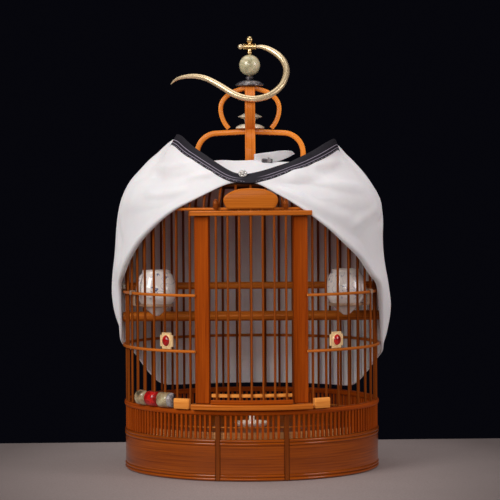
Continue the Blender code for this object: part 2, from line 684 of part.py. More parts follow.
def make_door_frame():
    steps = 8
    bm = bmesh.new()
    add_turned(bm, rectangle(FRAME_OUTER - SILL_DEPTH, FRAME_OUTER, SILL_Z, SILL_Z + SILL_HEIGHT), steps,
               -FRAME_HALF_ANGLE, FRAME_HALF_ANGLE)
    finish(bm, "sill", "bamboo", 35.0)

    for side, name in SIDES:
        bm = bmesh.new()
        right, up, out = wall_frame(side * POST_ANGLE)
        centre = ring_point(side * POST_ANGLE, POST_RADIUS, POST_FOOT_Z + POST_HEIGHT / 2.0)
        add_box(bm, centre, right, up, out, POST_WIDTH, POST_HEIGHT, POST_DEPTH)
        finish(bm, "door_post_" + name, "bamboo")

    bm = bmesh.new()
    add_turned(bm, rectangle(LINTEL_INNER, FRAME_OUTER, LINTEL_Z, LINTEL_Z + LINTEL_HEIGHT), steps,
               -FRAME_HALF_ANGLE, FRAME_HALF_ANGLE)
    lintel = finish(bm, "lintel", "bamboo_pale", 35.0)
    bm = bmesh.new()
    reach = LINTEL_HEIGHT
    for angle in door_bar_angles():
        low = ring_point(angle, DOOR_RADIUS, LINTEL_Z - reach)
        high = ring_point(angle, DOOR_RADIUS, LINTEL_Z + LINTEL_HEIGHT + reach)
        add_tube(bm, [low, high], [DOOR_BAR_RADIUS + CLEAR] * 2, BAR_SIDES)
    cut(lintel, finish(bm, "lintel_drill", "bamboo"))

    for side, name in SIDES:
        bm = bmesh.new()
        right, up, out = wall_frame(side * BLOCK_ANGLE)
        radius = WALL_OUTER + CLEAR + BLOCK_DEPTH / 2.0
        centre = ring_point(side * BLOCK_ANGLE, radius, RING_TOP + CLEAR + BLOCK_HEIGHT / 2.0)
        add_box(bm, centre, right, up, out, BLOCK_WIDTH, BLOCK_HEIGHT, BLOCK_DEPTH)
        finish(bm, "end_block_" + name, "bamboo_pale")


def door_bar_angles():
    half = (DOOR_BAR_COUNT - 1) / 2.0
    return [math.asin((k - half) * DOOR_BAR_PITCH / DOOR_RADIUS) for k in range(DOOR_BAR_COUNT)]


def make_door():
    rail_low = POST_FOOT_Z
    rail_top = rail_low + DOOR_RAIL_HEIGHT
    steps = 8
    slide = empty("door_slide_axis", (0.0, -DOOR_RADIUS, rail_low))
    bm = bmesh.new()
    add_turned(bm, rectangle(DOOR_RADIUS - DOOR_RAIL_DEPTH / 2.0, DOOR_RADIUS + DOOR_RAIL_DEPTH / 2.0,
                             rail_low, rail_top), steps, -DOOR_HALF_ANGLE, DOOR_HALF_ANGLE)
    finish(bm, "door_rail", "bamboo", 35.0, parent=slide)

    inner_outer = DOOR_RADIUS - DOOR_BAR_RADIUS - CLEAR
    inner_low = rail_top + INNER_RAIL_LIFT - DOOR_RAIL_HEIGHT
    bm = bmesh.new()
    add_turned(bm, rectangle(inner_outer - INNER_RAIL_DEPTH, inner_outer, inner_low,
                             inner_low + INNER_RAIL_HEIGHT), steps, -DOOR_HALF_ANGLE, DOOR_HALF_ANGLE)
    finish(bm, "door_inner_rail", "bamboo_pale", 35.0, parent=slide)

    plaque_low = HOOP_TOP_Z + HOOP_THICKNESS / 2.0
    knob = DOOR_KNOB_WIDTH / 2.0
    knob_top = plaque_low + DOOR_KNOB_HEIGHT
    last = DOOR_BAR_COUNT - 1
    for k, angle in enumerate(door_bar_angles()):
        levels = [rail_top + CLEAR, plaque_low - CLEAR]
        radii = [DOOR_BAR_RADIUS, DOOR_BAR_RADIUS]
        if k in (0, last):
            levels = [rail_top + CLEAR, plaque_low - CLEAR, plaque_low, knob_top - knob / 2.0, knob_top]
            radii = [DOOR_BAR_RADIUS, DOOR_BAR_RADIUS, knob, knob, knob / 2.0]
        bm = bmesh.new()
        add_tube(bm, [ring_point(angle, DOOR_RADIUS, z) for z in levels], radii, BAR_SIDES)
        finish(bm, "door_bar_" + str(k + 1), "bamboo", 50.0, parent=slide)

    bm = bmesh.new()
    outline = plaque_outline()
    front = -DOOR_RADIUS - PLAQUE_THICKNESS / 2.0
    back = front + PLAQUE_THICKNESS
    loft(bm, [[Vector((x, y, plaque_low + z)) for x, z in outline] for y in (front, back)])
    finish(bm, "door_plaque", "bamboo_pale", 35.0, parent=slide)


def plaque_outline():
    """An oval board with a straight foot and rounded sides."""
    half = PLAQUE_WIDTH / 2.0
    foot = PLAQUE_BASE / 2.0
    points = [(-foot, 0.0), (foot, 0.0)]
    middle = PLAQUE_HEIGHT * PLAQUE_SHOULDER_SHARE
    steps = 4
    for k in range(steps + 1):
        angle = math.pi / 2.0 * k / steps
        points.append((half - PLAQUE_CORNER * (1.0 - math.cos(angle)),
                       middle + (PLAQUE_HEIGHT - middle) * math.sin(angle)))
    for k in range(steps, -1, -1):
        angle = math.pi / 2.0 * k / steps
        points.append((-half + PLAQUE_CORNER * (1.0 - math.cos(angle)),
                       middle + (PLAQUE_HEIGHT - middle) * math.sin(angle)))
    return points


def arch_centreline(foot_z):
    """Half of the lower handle: from its foot up, round the corner and in to the middle."""
    reach = ARCH_HALF_WIDTH - STRIP_THICKNESS / 2.0
    top = ARCH_TOP_Z - STRIP_THICKNESS / 2.0
    low = top - ARCH_RISE - ARCH_CORNER
    points = [(reach, foot_z)]
    steps = 6
    for k in range(steps + 1):
        angle = math.pi / 2.0 * k / steps
        points.append((reach - ARCH_CORNER * (1.0 - math.cos(angle)), low + ARCH_CORNER * math.sin(angle)))
    return points, top


def make_lower_handle():
    half, top = arch_centreline(ARCH_FOOT_Z)
    left = [Vector((-x, 0.0, z)) for x, z in half]
    crown = [Vector((0.0, 0.0, top))]
    right = [Vector((x, 0.0, z)) for x, z in reversed(half)]
    bm = bmesh.new()
    add_ribbon(bm, left + crown + right, STRIP_WIDTH, STRIP_THICKNESS, Vector((0.0, 1.0, 0.0)))
    side = finish(bm, "arch_side", "bamboo", 35.0)
    bm = bmesh.new()
    add_round(bm, [(0.0, top - STRIP_THICKNESS), (BOLT_RADIUS + CLEAR, top - STRIP_THICKNESS),
                   (BOLT_RADIUS + CLEAR, top + STRIP_THICKNESS), (0.0, top + STRIP_THICKNESS)],
              FINE_STEPS // 2)
    cut(side, finish(bm, "arch_drill", "bamboo"))

    butt = STRIP_WIDTH / 2.0 + CLEAR
    for way, name in ((-1.0, "front"), (1.0, "back")):
        bm = bmesh.new()
        points = [Vector((0.0, way * x, z)) for x, z in half]
        points.append(Vector((0.0, way * butt, top)))
        add_ribbon(bm, points, STRIP_WIDTH, STRIP_THICKNESS, Vector((1.0, 0.0, 0.0)))
        finish(bm, "arch_" + name, "bamboo", 35.0)


def lantern_half():
    """Half of a lantern strip's centreline: foot on the lower handle, bulge, flatter crown."""
    half = LANTERN_STRIP_THICKNESS / 2.0
    radius = LANTERN_RADIUS - half
    rise = LANTERN_TOP_RISE - half
    slope = ARCH_RISE / (ARCH_HALF_WIDTH - STRIP_THICKNESS / 2.0 - ARCH_CORNER)
    level = math.asin((LANTERN_CENTRE_Z - ARCH_TOP_Z) / LANTERN_RADIUS)
    fall = slope * LANTERN_RADIUS * math.cos(level)
    drop = math.asin((LANTERN_CENTRE_Z - ARCH_TOP_Z - CLEAR + fall) / LANTERN_RADIUS)
    points = []
    low_steps = 5
    for k in range(low_steps):
        angle = -drop + drop * k / low_steps
        points.append((radius * math.cos(angle), LANTERN_CENTRE_Z + radius * math.sin(angle)))
    high_steps = 7
    for k in range(high_steps - 1):
        angle = math.pi / 2.0 * k / high_steps
        points.append((radius * math.cos(angle), LANTERN_CENTRE_Z + rise * math.sin(angle)))
    top = LANTERN_CENTRE_Z + rise
    points.append((LANTERN_FLAT, top))
    return points, top


def make_lantern():
    half, top = lantern_half()
    left = [Vector((-x, 0.0, z)) for x, z in half]
    right = [Vector((x, 0.0, z)) for x, z in reversed(half)]
    bm = bmesh.new()
    add_ribbon(bm, left + [Vector((0.0, 0.0, top))] + right, LANTERN_STRIP_WIDTH, LANTERN_STRIP_THICKNESS,
               Vector((0.0, 1.0, 0.0)))
    side = finish(bm, "lantern_side", "bamboo", 35.0)
    bm = bmesh.new()
    low = top - LANTERN_STRIP_THICKNESS
    high = top + LANTERN_STRIP_THICKNESS
    add_round(bm, [(0.0, low), (STEM_RADIUS + CLEAR, low), (STEM_RADIUS + CLEAR, high), (0.0, high)],
              FINE_STEPS // 2)
    cut(side, finish(bm, "lantern_drill", "bamboo"))

    butt = LANTERN_STRIP_WIDTH / 2.0 + CLEAR
    for way, name in ((-1.0, "front"), (1.0, "back")):
        bm = bmesh.new()
        points = [Vector((0.0, way * x, z)) for x, z in half]
        points.append(Vector((0.0, way * butt, top)))
        add_ribbon(bm, points, LANTERN_STRIP_WIDTH, LANTERN_STRIP_THICKNESS, Vector((1.0, 0.0, 0.0)))
        finish(bm, "lantern_" + name, "bamboo", 35.0)


def make_bolt_and_beads():
    bore = BOLT_RADIUS + CLEAR
    head_top = ARCH_TOP_Z - STRIP_THICKNESS - CLEAR
    disc_low = ARCH_TOP_Z + CLEAR
    bead_low = disc_low + LOWER_DISC_HEIGHT + CLEAR
    bolt_top = bead_low + LOWER_BEAD_HEIGHT + BOLT_RADIUS / 2.0
    bm = bmesh.new()
    add_round(bm, [(0.0, head_top - BOLT_HEAD_HEIGHT), (BOLT_HEAD_RADIUS, head_top - BOLT_HEAD_HEIGHT),
                   (BOLT_HEAD_RADIUS, head_top), (BOLT_RADIUS, head_top), (BOLT_RADIUS, bolt_top),
                   (0.0, bolt_top)], FINE_STEPS // 2)
    finish(bm, "arch_bolt", "brass", 40.0)

    bm = bmesh.new()
    add_turned(bm, bored(bore, LOWER_DISC_SHARES, LOWER_DISC_RADIUS, disc_low, LOWER_DISC_HEIGHT), FINE_STEPS)
    finish(bm, "lower_disc", "jade", 40.0)
    bm = bmesh.new()
    add_turned(bm, bored(bore, LOWER_BEAD_SHARES, LOWER_BEAD_RADIUS, bead_low, LOWER_BEAD_HEIGHT), FINE_STEPS)
    finish(bm, "lower_bead", "jade", 40.0)

    stem_bore = STEM_RADIUS + CLEAR
    disc = bored(stem_bore, UPPER_DISC_SHARES, UPPER_DISC_RADIUS, DISC_Z, UPPER_DISC_HEIGHT)
    bead = bored(stem_bore, SMALL_BEAD_SHARES, SMALL_BEAD_RADIUS, BEAD_Z, SMALL_BEAD_HEIGHT)
    bm = bmesh.new()
    add_turned(bm, disc[:-1] + bead[1:], FINE_STEPS)
    finish(bm, "upper_disc", "dark_stone", 40.0)


def bored(bore, shares, radius, low, height):
    """The (radius, z) outline of a turned bead round a straight bore."""
    outer = [(radius * reach, low + height * rise) for reach, rise in shares]
    return [(bore, low)] + outer + [(bore, low + height)]


def make_swivel():
    """The swivelling stem, its jade ball and the folding hook."""
    top_strip_low = LANTERN_TOP_Z - LANTERN_STRIP_THICKNESS
    collar_top = top_strip_low - CLEAR
    swivel = empty("hook_swivel_axis", (0.0, 0.0, collar_top))
    finial_z = PIVOT_Z + EYE_RADIUS + FINIAL_RADIUS
    bm = bmesh.new()
    outline = [(0.0, collar_top - STEM_COLLAR_HEIGHT), (STEM_COLLAR_RADIUS, collar_top - STEM_COLLAR_HEIGHT),
               (STEM_COLLAR_RADIUS, collar_top), (STEM_RADIUS, collar_top), (STEM_RADIUS, PIVOT_Z),
               (FINIAL_NECK_RADIUS, PIVOT_Z + EYE_RADIUS)]
    ball_steps = 5
    for k in range(1, ball_steps):
        angle = math.pi * k / ball_steps - math.pi / 2.0
        outline.append((FINIAL_RADIUS * math.cos(angle), finial_z + FINIAL_RADIUS * math.sin(angle)))
    outline.append((0.0, finial_z + FINIAL_RADIUS))
    add_round(bm, outline, FINE_STEPS // 2)
    stem = finish(bm, "hook_stem", "brass", 40.0, origin=(0.0, 0.0, collar_top), parent=swivel)

    bm = bmesh.new()
    half = EYE_LENGTH / 2.0
    axis = [Vector((-half, 0.0, PIVOT_Z)), Vector((half, 0.0, PIVOT_Z))]
    add_tube(bm, axis, [EYE_RADIUS] * 2, FINE_STEPS // 2)
    eye = finish(bm, "eye_barrel", "brass")
    union(stem, eye)
    bm = bmesh.new()
    axis = [Vector((-EYE_LENGTH, 0.0, PIVOT_Z)), Vector((EYE_LENGTH, 0.0, PIVOT_Z))]
    add_tube(bm, axis, [HOOK_SHANK_RADIUS + CLEAR] * 2, FINE_STEPS // 2)
    cut(stem, finish(bm, "eye_drill", "brass"))

    bm = bmesh.new()
    bore = STEM_RADIUS + CLEAR
    drop = math.asin(bore / BALL_RADIUS)
    outline = []
    for k in range(BALL_OUTLINE_STEPS + 1):
        angle = -math.pi / 2.0 + drop + (math.pi - 2.0 * drop) * k / BALL_OUTLINE_STEPS
        outline.append((BALL_RADIUS * math.cos(angle), BALL_Z + BALL_RADIUS * math.sin(angle)))
    add_turned(bm, outline, FINE_STEPS)
    finish(bm, "jade_ball", "jade", 60.0, parent=swivel)

    hinge = empty("hook_hinge_axis", (0.0, 0.0, PIVOT_Z))
    down = Vector((0.0, -math.sin(HOOK_TILT), -math.cos(HOOK_TILT)))
    points = [Vector((HOOK_DROP * x, 0.0, PIVOT_Z)) + down * (HOOK_DROP * v) for x, v in HOOK_PATH_SHARES]
    radii = [HOOK_RADIUS * share for share in HOOK_TAPER_SHARES]
    bm = bmesh.new()
    add_tube(bm, points, radii, HOOK_SIDES)
    hook = finish(bm, "hook", "brass", 60.0, origin=(0.0, 0.0, PIVOT_Z), parent=hinge)
    bm = bmesh.new()
    ball_x = -EYE_LENGTH / 2.0 - CLEAR - HOOK_END_BALL_RADIUS
    outline = [(0.0, -HOOK_END_BALL_RADIUS)]
    for k in range(1, ball_steps):
        angle = math.pi * k / ball_steps - math.pi / 2.0
        outline.append((HOOK_END_BALL_RADIUS * math.cos(angle), HOOK_END_BALL_RADIUS * math.sin(angle)))
    outline.append((0.0, HOOK_END_BALL_RADIUS))
    add_round(bm, outline, FINE_STEPS // 2)
    ball = finish(bm, "hook_end_ball", "brass")
    ball.location = (ball_x, 0.0, PIVOT_Z)
    union(hook, ball)


def make_perch_and_rod():
    reach = WALL_OUTER + PERCH_OVERHANG
    bm = bmesh.new()
    add_tube(bm, [Vector((-reach, 0.0, PERCH_Z)), Vector((reach, 0.0, PERCH_Z))],
             [PERCH_RADIUS] * 2, PERCH_SIDES)
    perch = finish(bm, "perch", "bamboo", 40.0)
    bm = bmesh.new()
    slot = 2.0 * (BAR_RADIUS + CLEAR)
    inner = CAGE_RADIUS - BAR_RADIUS - CLEAR
    length = 2.0 * (reach - inner)
    up = Vector((0.0, 0.0, 1.0))
    for side in (-1.0, 1.0):
        centre = Vector((side * (inner + length / 2.0), 0.0, PERCH_Z))
        add_box(bm, centre, Vector((1.0, 0.0, 0.0)), up, Vector((0.0, 1.0, 0.0)),
                length, 4.0 * PERCH_RADIUS, slot)
    cut(perch, finish(bm, "perch_notch", "bamboo"))

    y = -CAGE_RADIUS * math.sin(PITCH / 2.0)
    end = WALL_OUTER * math.cos(PITCH / 2.0) - ROD_INSET
    bm = bmesh.new()
    add_tube(bm, [Vector((-end, y, ROD_Z)), Vector((end, y, ROD_Z))], [ROD_RADIUS] * 2, PERCH_SIDES)
    finish(bm, "upper_rod", "bamboo", 40.0)
    for side, name in SIDES:
        bm = bmesh.new()
        start = side * (end + CLEAR)
        far = side * (end + CLEAR + CAP_LENGTH)
        points = [Vector((start, y, ROD_Z)), Vector((start + (far - start) * CAP_TIP_SHARE, y, ROD_Z)),
                  Vector((far, y, ROD_Z))]
        add_tube(bm, points, [CAP_RADIUS, CAP_RADIUS, CAP_RADIUS * CAP_TIP_SHARE], FINE_STEPS // 2)
        finish(bm, "rod_cap_" + name, "bone", 40.0)


def cup_radius(share):
    """Outer radius of the globe-shaped cup at a share of its height."""
    return CUP_RADIUS * table(CUP_SHARES, share)


def make_cups():
    mouth = cup_radius(1.0) - CUP_WALL
    for side, name in SIDES:
        place = ring_point(side * CUP_ANGLE, CUP_DISTANCE, 0.0)
        outline = [(0.0, CUP_BOTTOM_Z)]
        outline += [(CUP_RADIUS * reach, CUP_BOTTOM_Z + CUP_HEIGHT * share) for share, reach in CUP_SHARES]
        outline.append((mouth, CUP_BOTTOM_Z + CUP_HEIGHT))
        outline += [(cup_radius(share) - CUP_WALL, CUP_BOTTOM_Z + CUP_HEIGHT * share)
                    for share in CUP_INNER_SHARES]
        outline.append((0.0, CUP_BOTTOM_Z + CUP_FLOOR))
        lift = empty("cup_lift_axis_" + name, (place.x, place.y, CUP_BOTTOM_Z))
        bm = bmesh.new()
        add_round(bm, outline, FINE_STEPS, centre=(place.x, place.y))
        finish(bm, "cup_" + name, "porcelain", 50.0, parent=lift)

    ring_z = CUP_BOTTOM_Z + CUP_RING_LIFT
    top_share = (CUP_RING_LIFT + CUP_RING_HEIGHT) / CUP_HEIGHT
    bore = cup_radius(top_share) + CLEAR
    for side, name in SIDES:
        rings = bmesh.new()
        strips = bmesh.new()
        angle = side * CUP_ANGLE
        place = ring_point(angle, CUP_DISTANCE, 0.0)
        add_turned(rings, rectangle(bore, bore + CUP_RING_WALL, ring_z, ring_z + CUP_RING_HEIGHT),
                   FINE_STEPS, centre=(place.x, place.y))
        right, _, out = wall_frame(angle)
        root = CUP_DISTANCE + bore + CUP_RING_WALL / 2.0
        inside = HOOP_INNER - CLEAR - CUP_STRIP_THICKNESS / 2.0
        outside = HOOP_OUTER + CLEAR + CUP_STRIP_THICKNESS / 2.0
        over = HOOP_HIGH_Z + HOOP_THICKNESS + CLEAR + CUP_STRIP_THICKNESS / 2.0
        path = [(root, ring_z + CUP_RING_HEIGHT / 2.0), (inside, ring_z + CUP_RING_HEIGHT / 2.0),
                (inside, over), (outside, over), (outside, HOOP_HIGH_Z)]
        half = CUP_STRIP_THICKNESS / 2.0
        outline = strip_outline(path, half)
        stations = []
        for way in (-0.5, 0.5):
            stations.append([ring_point(angle, radius, z) + right * (CUP_STRIP_WIDTH * way)
                             for radius, z in outline])
        loft(strips, stations)
        hook = finish(rings, "cup_hook_" + name, "brass", 40.0)
        union(hook, finish(strips, "cup_strip_" + name, "brass"))


def strip_outline(path, half):
    """The outline of a bent strip whose bends are square, in (radius, z)."""
    one_side = []
    other_side = []
    last = len(path) - 1
    for k, (radius, z) in enumerate(path):
        before = path[max(k - 1, 0)]
        after = path[min(k + 1, last)]
        first = Vector((radius - before[0], z - before[1]))
        second = Vector((after[0] - radius, after[1] - z))
        first = first.normalized() if first.length else second.normalized()
        second = second.normalized() if second.length else first
        normal_one = Vector((-first.y, first.x))
        normal_two = Vector((-second.y, second.x))
        shift = (normal_one + normal_two) if first.dot(second) < 0.9 else normal_one
        one_side.append((radius + shift.x * half, z + shift.y * half))
        other_side.append((radius - shift.x * half, z - shift.y * half))
    return one_side + list(reversed(other_side))


def make_plates_and_stones():
    foot = HOOP_LOW_Z + HOOP_THICKNESS + CLEAR
    middle = foot + PLATE_HEIGHT / 2.0
    back = WALL_OUTER + CLEAR
    half_w = PLATE_WIDTH / 2.0
    half_h = PLATE_HEIGHT / 2.0
    notch = PLATE_NOTCH
    outline = []
    for sx, sz in ((-1, -1), (1, -1), (1, 1), (-1, 1)):
        corner = [(sx * (half_w - notch), sz * half_h), (sx * (half_w - notch), sz * (half_h - notch)),
                  (sx * half_w, sz * (half_h - notch))]
        outline += corner if sx * sz < 0 else list(reversed(corner))
    outline.reverse()
    for side, name in SIDES:
        plates = bmesh.new()
        stones = bmesh.new()
        angle = side * PLATE_ANGLE
        right, up, out = wall_frame(angle)
        centre = ring_point(angle, back, middle)
        loft(plates, [[centre + right * x + up * z + out * depth for x, z in outline]
                      for depth in (0.0, PLATE_THICKNESS)])
        face = centre + out * (PLATE_THICKNESS + CLEAR)
        stations = []
        steps = 12
        for depth_share, size_share in STONE_SHARES:
            station = []
            for k in range(steps):
                turn = 2.0 * math.pi * k / steps
                station.append(face + out * (STONE_RISE * depth_share)
                               + right * (STONE_WIDTH / 2.0 * size_share * math.cos(turn))
                               + up * (STONE_HEIGHT / 2.0 * size_share * math.sin(turn)))
            stations.append(station)
        loft(stones, stations)
        finish(plates, "stone_plate_" + name, "gilt")
        finish(stones, "red_stone_" + name, "red_stone", 50.0)


def make_wall_beads():
    """A row of flat-backed beads against the bars, standing on the main ring."""
    back = WALL_OUTER + CLEAR
    centre_z = RING_TOP + CLEAR + WALL_BEAD_HEIGHT / 2.0
    row = (("jade_bead_outer", "jade", JADE_BEAD_LENGTH), ("red_bead", "red_stone", RED_BEAD_LENGTH),
           ("jade_bead_inner", "jade", LONG_BEAD_LENGTH))
    edge = BLOCK_ANGLE + (BLOCK_WIDTH / 2.0 + BEAD_SPACE) / back
    angle = edge + sum(length + BEAD_SPACE for _, _, length in row) / back
    steps = 8
    for name, look, length in row:
        centre_angle = -(angle - length / 2.0 / back)
        right, up, out = wall_frame(centre_angle)
        base = ring_point(centre_angle, back, centre_z)
        outline = []
        for k in range(steps + 1):
            turn = math.pi * k / steps - math.pi / 2.0
            outline.append((WALL_BEAD_DEPTH * math.cos(turn), WALL_BEAD_HEIGHT / 2.0 * math.sin(turn)))
        bm = bmesh.new()
        loft(bm, [[base + right * (length * way) + out * depth + up * z for depth, z in outline]
                  for way in (-0.5, 0.5)])
        finish(bm, name, look, 40.0)
        angle -= (length + BEAD_SPACE) / back


def lapel_fold(half_turn, z):
    """How far the folds that fan out from the front lift the lapel at a point."""
    along = CAGE_RADIUS * math.pi * half_turn
    up = z - SHOULDER_Z
    swell = table(FOLD_SWELL_SHARES, math.hypot(along, up) / CAGE_RADIUS)
    fan = math.atan2(up, along)
    return LAPEL_FOLD_DEPTH * swell * math.cos(2.0 * LAPEL_FOLD_COUNT * fan)


def cover_column(half_turn):
    """Points (radius, z) down one line of the cover: neck, roof, wall, rolled edge, lapel."""
    roll_z = SHOULDER_Z * table(ROLL_EDGE_SHARES, half_turn)
    edge_z = SHOULDER_Z * table(LAPEL_EDGE_SHARES, half_turn)
    roof_edge = CAGE_RADIUS * WALL_LAYER_SHARES[-1][1]
    roof_edge_z = SHOULDER_Z * WALL_LAYER_SHARES[-1][0]
    over_plate = TOP_PLATE_Z + TOP_PLATE_THICKNESS + CLOTH_CLEAR
    middle = (TOP_PLATE_RADIUS + roof_edge) / 2.0
    sag_z = (over_plate + roof_edge_z) / 2.0 + ROOF_CROWN + CLOTH_CLEAR
    points = [(COVER_NECK_RADIUS, over_plate + COVER_NECK_RISE), (TOP_PLATE_RADIUS, over_plate),
              (middle, sag_z), (roof_edge, roof_edge_z)]
    for row_share, level_share in WALL_ROW_SHARES:
        z = max(SHOULDER_Z * level_share, roll_z + (roof_edge_z - roll_z) * row_share)
        points.append((CAGE_RADIUS * table(WALL_LAYER_SHARES, z / SHOULDER_Z), z))
    fold = points[-1][0]
    reach = CAGE_RADIUS * table(LAPEL_REACH_SHARES, half_turn)
    edge_bulge = CAGE_RADIUS * table(BULGE_SHARES, edge_z / SHOULDER_Z)
    front = half_turn < COVER_FRONT_END_SHARE
    rise = edge_z - roll_z
    for k, (level_share, least, greatest) in enumerate(LAPEL_ROW_SHARES):
        z = min(max(SHOULDER_Z * level_share, roll_z + rise * least), roll_z + rise * greatest)
        share = (z - roll_z) / rise
        radius = CAGE_RADIUS * table(BULGE_SHARES, z / SHOULDER_Z) + (reach - edge_bulge) * share * share
        if share < 1.0:
            radius += lapel_fold(half_turn, z)
        if z < roof_edge_z:
            radius = max(radius, CAGE_RADIUS * table(WALL_LAYER_SHARES, z / SHOULDER_Z) + LAYER_GAP)
        if front:
            radius = min(radius, COVER_FRONT_RADIUS)
        if k == 0:
            radius = max(radius, fold + LAYER_GAP)
        points.append((radius, z))
    return points


def make_cover():
    """A single sheet: over the roof, down the wall to a rolled edge, and turned out into two lapels."""
    bm = bmesh.new()
    columns = []
    for k in range(CLOTH_COLUMNS):
        angle = 2.0 * math.pi * k / CLOTH_COLUMNS
        half_turn = min(angle, 2.0 * math.pi - angle) / math.pi
        columns.append([bm.verts.new(ring_point(angle, radius, z)) for radius, z in cover_column(half_turn)])
    columns.append(columns[0])
    for one, two in zip(columns, columns[1:]):
        for k in range(len(one) - 1):
            bm.faces.new((one[k], two[k], two[k + 1], one[k + 1]))
    bmesh.ops.recalc_face_normals(bm, faces=bm.faces[:])
    mesh = bpy.data.meshes.new("cover_cloth")
    bm.to_mesh(mesh)
    bm.free()
    cover = bpy.data.objects.new("cover_cloth", mesh)
    bpy.context.scene.collection.objects.link(cover)
    cover.data.materials.append(material("cloth"))
    mesh.shade_smooth()
    thick = cover.modifiers.new("thickness", "SOLIDIFY")
    thick.thickness = CLOTH_THICKNESS
    thick.offset = 0.0

    make_cover_band()
    make_clasp()


def band_place(half_turn):
    """Radius and foot height of the bound edge at a share of half a turn."""
    radius, edge_z = cover_column(half_turn)[-1]
    step = 2.0 / CLOTH_COLUMNS
    before = cover_column(max(half_turn - step, 0.0))[-1][1]
    after = cover_column(half_turn + step)[-1][1]
    slope = max(abs(edge_z - before), abs(after - edge_z)) / (math.pi * step * radius)
    return radius, edge_z + (CLOTH_THICKNESS / 2.0 + BAND_SEAT) * math.hypot(1.0, slope)


def make_cover_band():
    """The dark bound edge, a strip that stands on the lapel's free edge."""
    bm = bmesh.new()
    reach = int(CLOTH_COLUMNS / 2 * BAND_END_SHARE)
    half = BAND_THICKNESS / 2.0
    stations = []
    for k in range(-reach, reach + 1):
        half_turn = 2.0 * abs(k) / CLOTH_COLUMNS
        angle = math.pi * 2.0 * k / CLOTH_COLUMNS
        radius, low = band_place(half_turn)
        high = low + BAND_RISE
        lean = BAND_LEAN if half_turn < BAND_LEAN_END_SHARE else 0.0
        stations.append([ring_point(angle, radius - half, low), ring_point(angle, radius + half, low),
                         ring_point(angle, radius + half - lean, high),
                         ring_point(angle, radius - half - lean, high)])
    loft(bm, stations)
    finish(bm, "cover_band", "binding", 40.0)


def make_clasp():
    """The clasp on the bound edge, a little to the left of the middle."""
    radius = band_place(0.0)[0]
    angle = -math.asin(CLASP_OFFSET / radius)
    radius, low = band_place(-angle / math.pi)
    right, up, out = wall_frame(angle)
    centre = ring_point(angle, radius + BAND_THICKNESS / 2.0 + CLEAR + CLASP_THICKNESS / 2.0,
                        low + CLASP_HEIGHT / 2.0)
    bm = bmesh.new()
    add_box(bm, centre, right, up, out, CLASP_WIDTH, CLASP_HEIGHT, CLASP_THICKNESS)
    finish(bm, "clasp", "silver")


def main():
    clear_scene()
    make_base()
    make_dish()
    make_main_ring()
    make_hoops()
    make_bars()
    make_roof()
    make_door_frame()
    make_door()
    make_lower_handle()
    make_lantern()
    make_bolt_and_beads()
    make_swivel()
    make_perch_and_rod()
    make_cups()
    make_plates_and_stones()
    make_wall_beads()
    make_cover()


main()
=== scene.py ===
"""The looks of a round bamboo bird cage with a turned-back cloth cover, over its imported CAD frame."""
from math import asin, atan2, copysign, cos, dist, exp, floor, hypot, pi, radians, sin, sqrt

import bmesh
import bpy
from mathutils import Matrix, Vector
from mathutils import noise as field


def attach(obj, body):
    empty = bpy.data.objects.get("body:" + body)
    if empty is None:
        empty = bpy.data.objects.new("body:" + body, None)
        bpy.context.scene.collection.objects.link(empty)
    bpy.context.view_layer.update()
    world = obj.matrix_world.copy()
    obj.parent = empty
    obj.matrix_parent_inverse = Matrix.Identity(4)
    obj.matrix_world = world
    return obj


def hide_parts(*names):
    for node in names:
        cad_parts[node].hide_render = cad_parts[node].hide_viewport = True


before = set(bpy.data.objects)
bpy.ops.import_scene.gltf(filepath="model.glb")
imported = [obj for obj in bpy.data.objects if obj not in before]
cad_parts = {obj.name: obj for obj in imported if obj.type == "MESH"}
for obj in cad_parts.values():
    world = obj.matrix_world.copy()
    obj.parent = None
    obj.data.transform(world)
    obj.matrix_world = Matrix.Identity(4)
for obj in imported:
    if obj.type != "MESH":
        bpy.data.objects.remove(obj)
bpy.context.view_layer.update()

TURN = 2 * pi

# Sizes shared with the solids, in metres
R = 0.1622
BARS = 52
BAR = 0.0016
CLEAR = 0.0003
PITCH = TURN / BARS
WALL_OUT = R + BAR
HOOP_IN = WALL_OUT + CLEAR
HOOP_OUT = HOOP_IN + 0.0027
DOOR_R = HOOP_OUT + CLEAR + 0.0028
FRAME_OUT = DOOR_R + 0.0015 + CLEAR + 0.0014
SILL_Z = 0.0875
POST_FOOT = 0.0944
LINTEL_Z = 0.3252
HOOP_HEIGHT = 0.0036
HOOP_HIGH_Z = 0.2255
HOOP_TOP_Z = 0.3317


# Node trees and materials

class Nodes:
    """A small helper around one node tree."""

    def __init__(self, tree):
        self.tree = tree

    def put(self, socket, value):
        if isinstance(value, bpy.types.NodeSocket):
            self.tree.links.new(value, socket)
        else:
            socket.default_value = value

    def node(self, kind, inputs=(), **settings):
        made = self.tree.nodes.new("ShaderNode" + kind)
        for key, value in settings.items():
            setattr(made, key, value)
        for key, value in dict(inputs).items():
            self.put(made.inputs[key], value)
        return made

    def math(self, operation, a, b=0):
        return self.node("Math", {0: a, 1: b}, operation=operation).outputs[0]

    def times(self, a, b):
        return self.math("MULTIPLY", a, b)


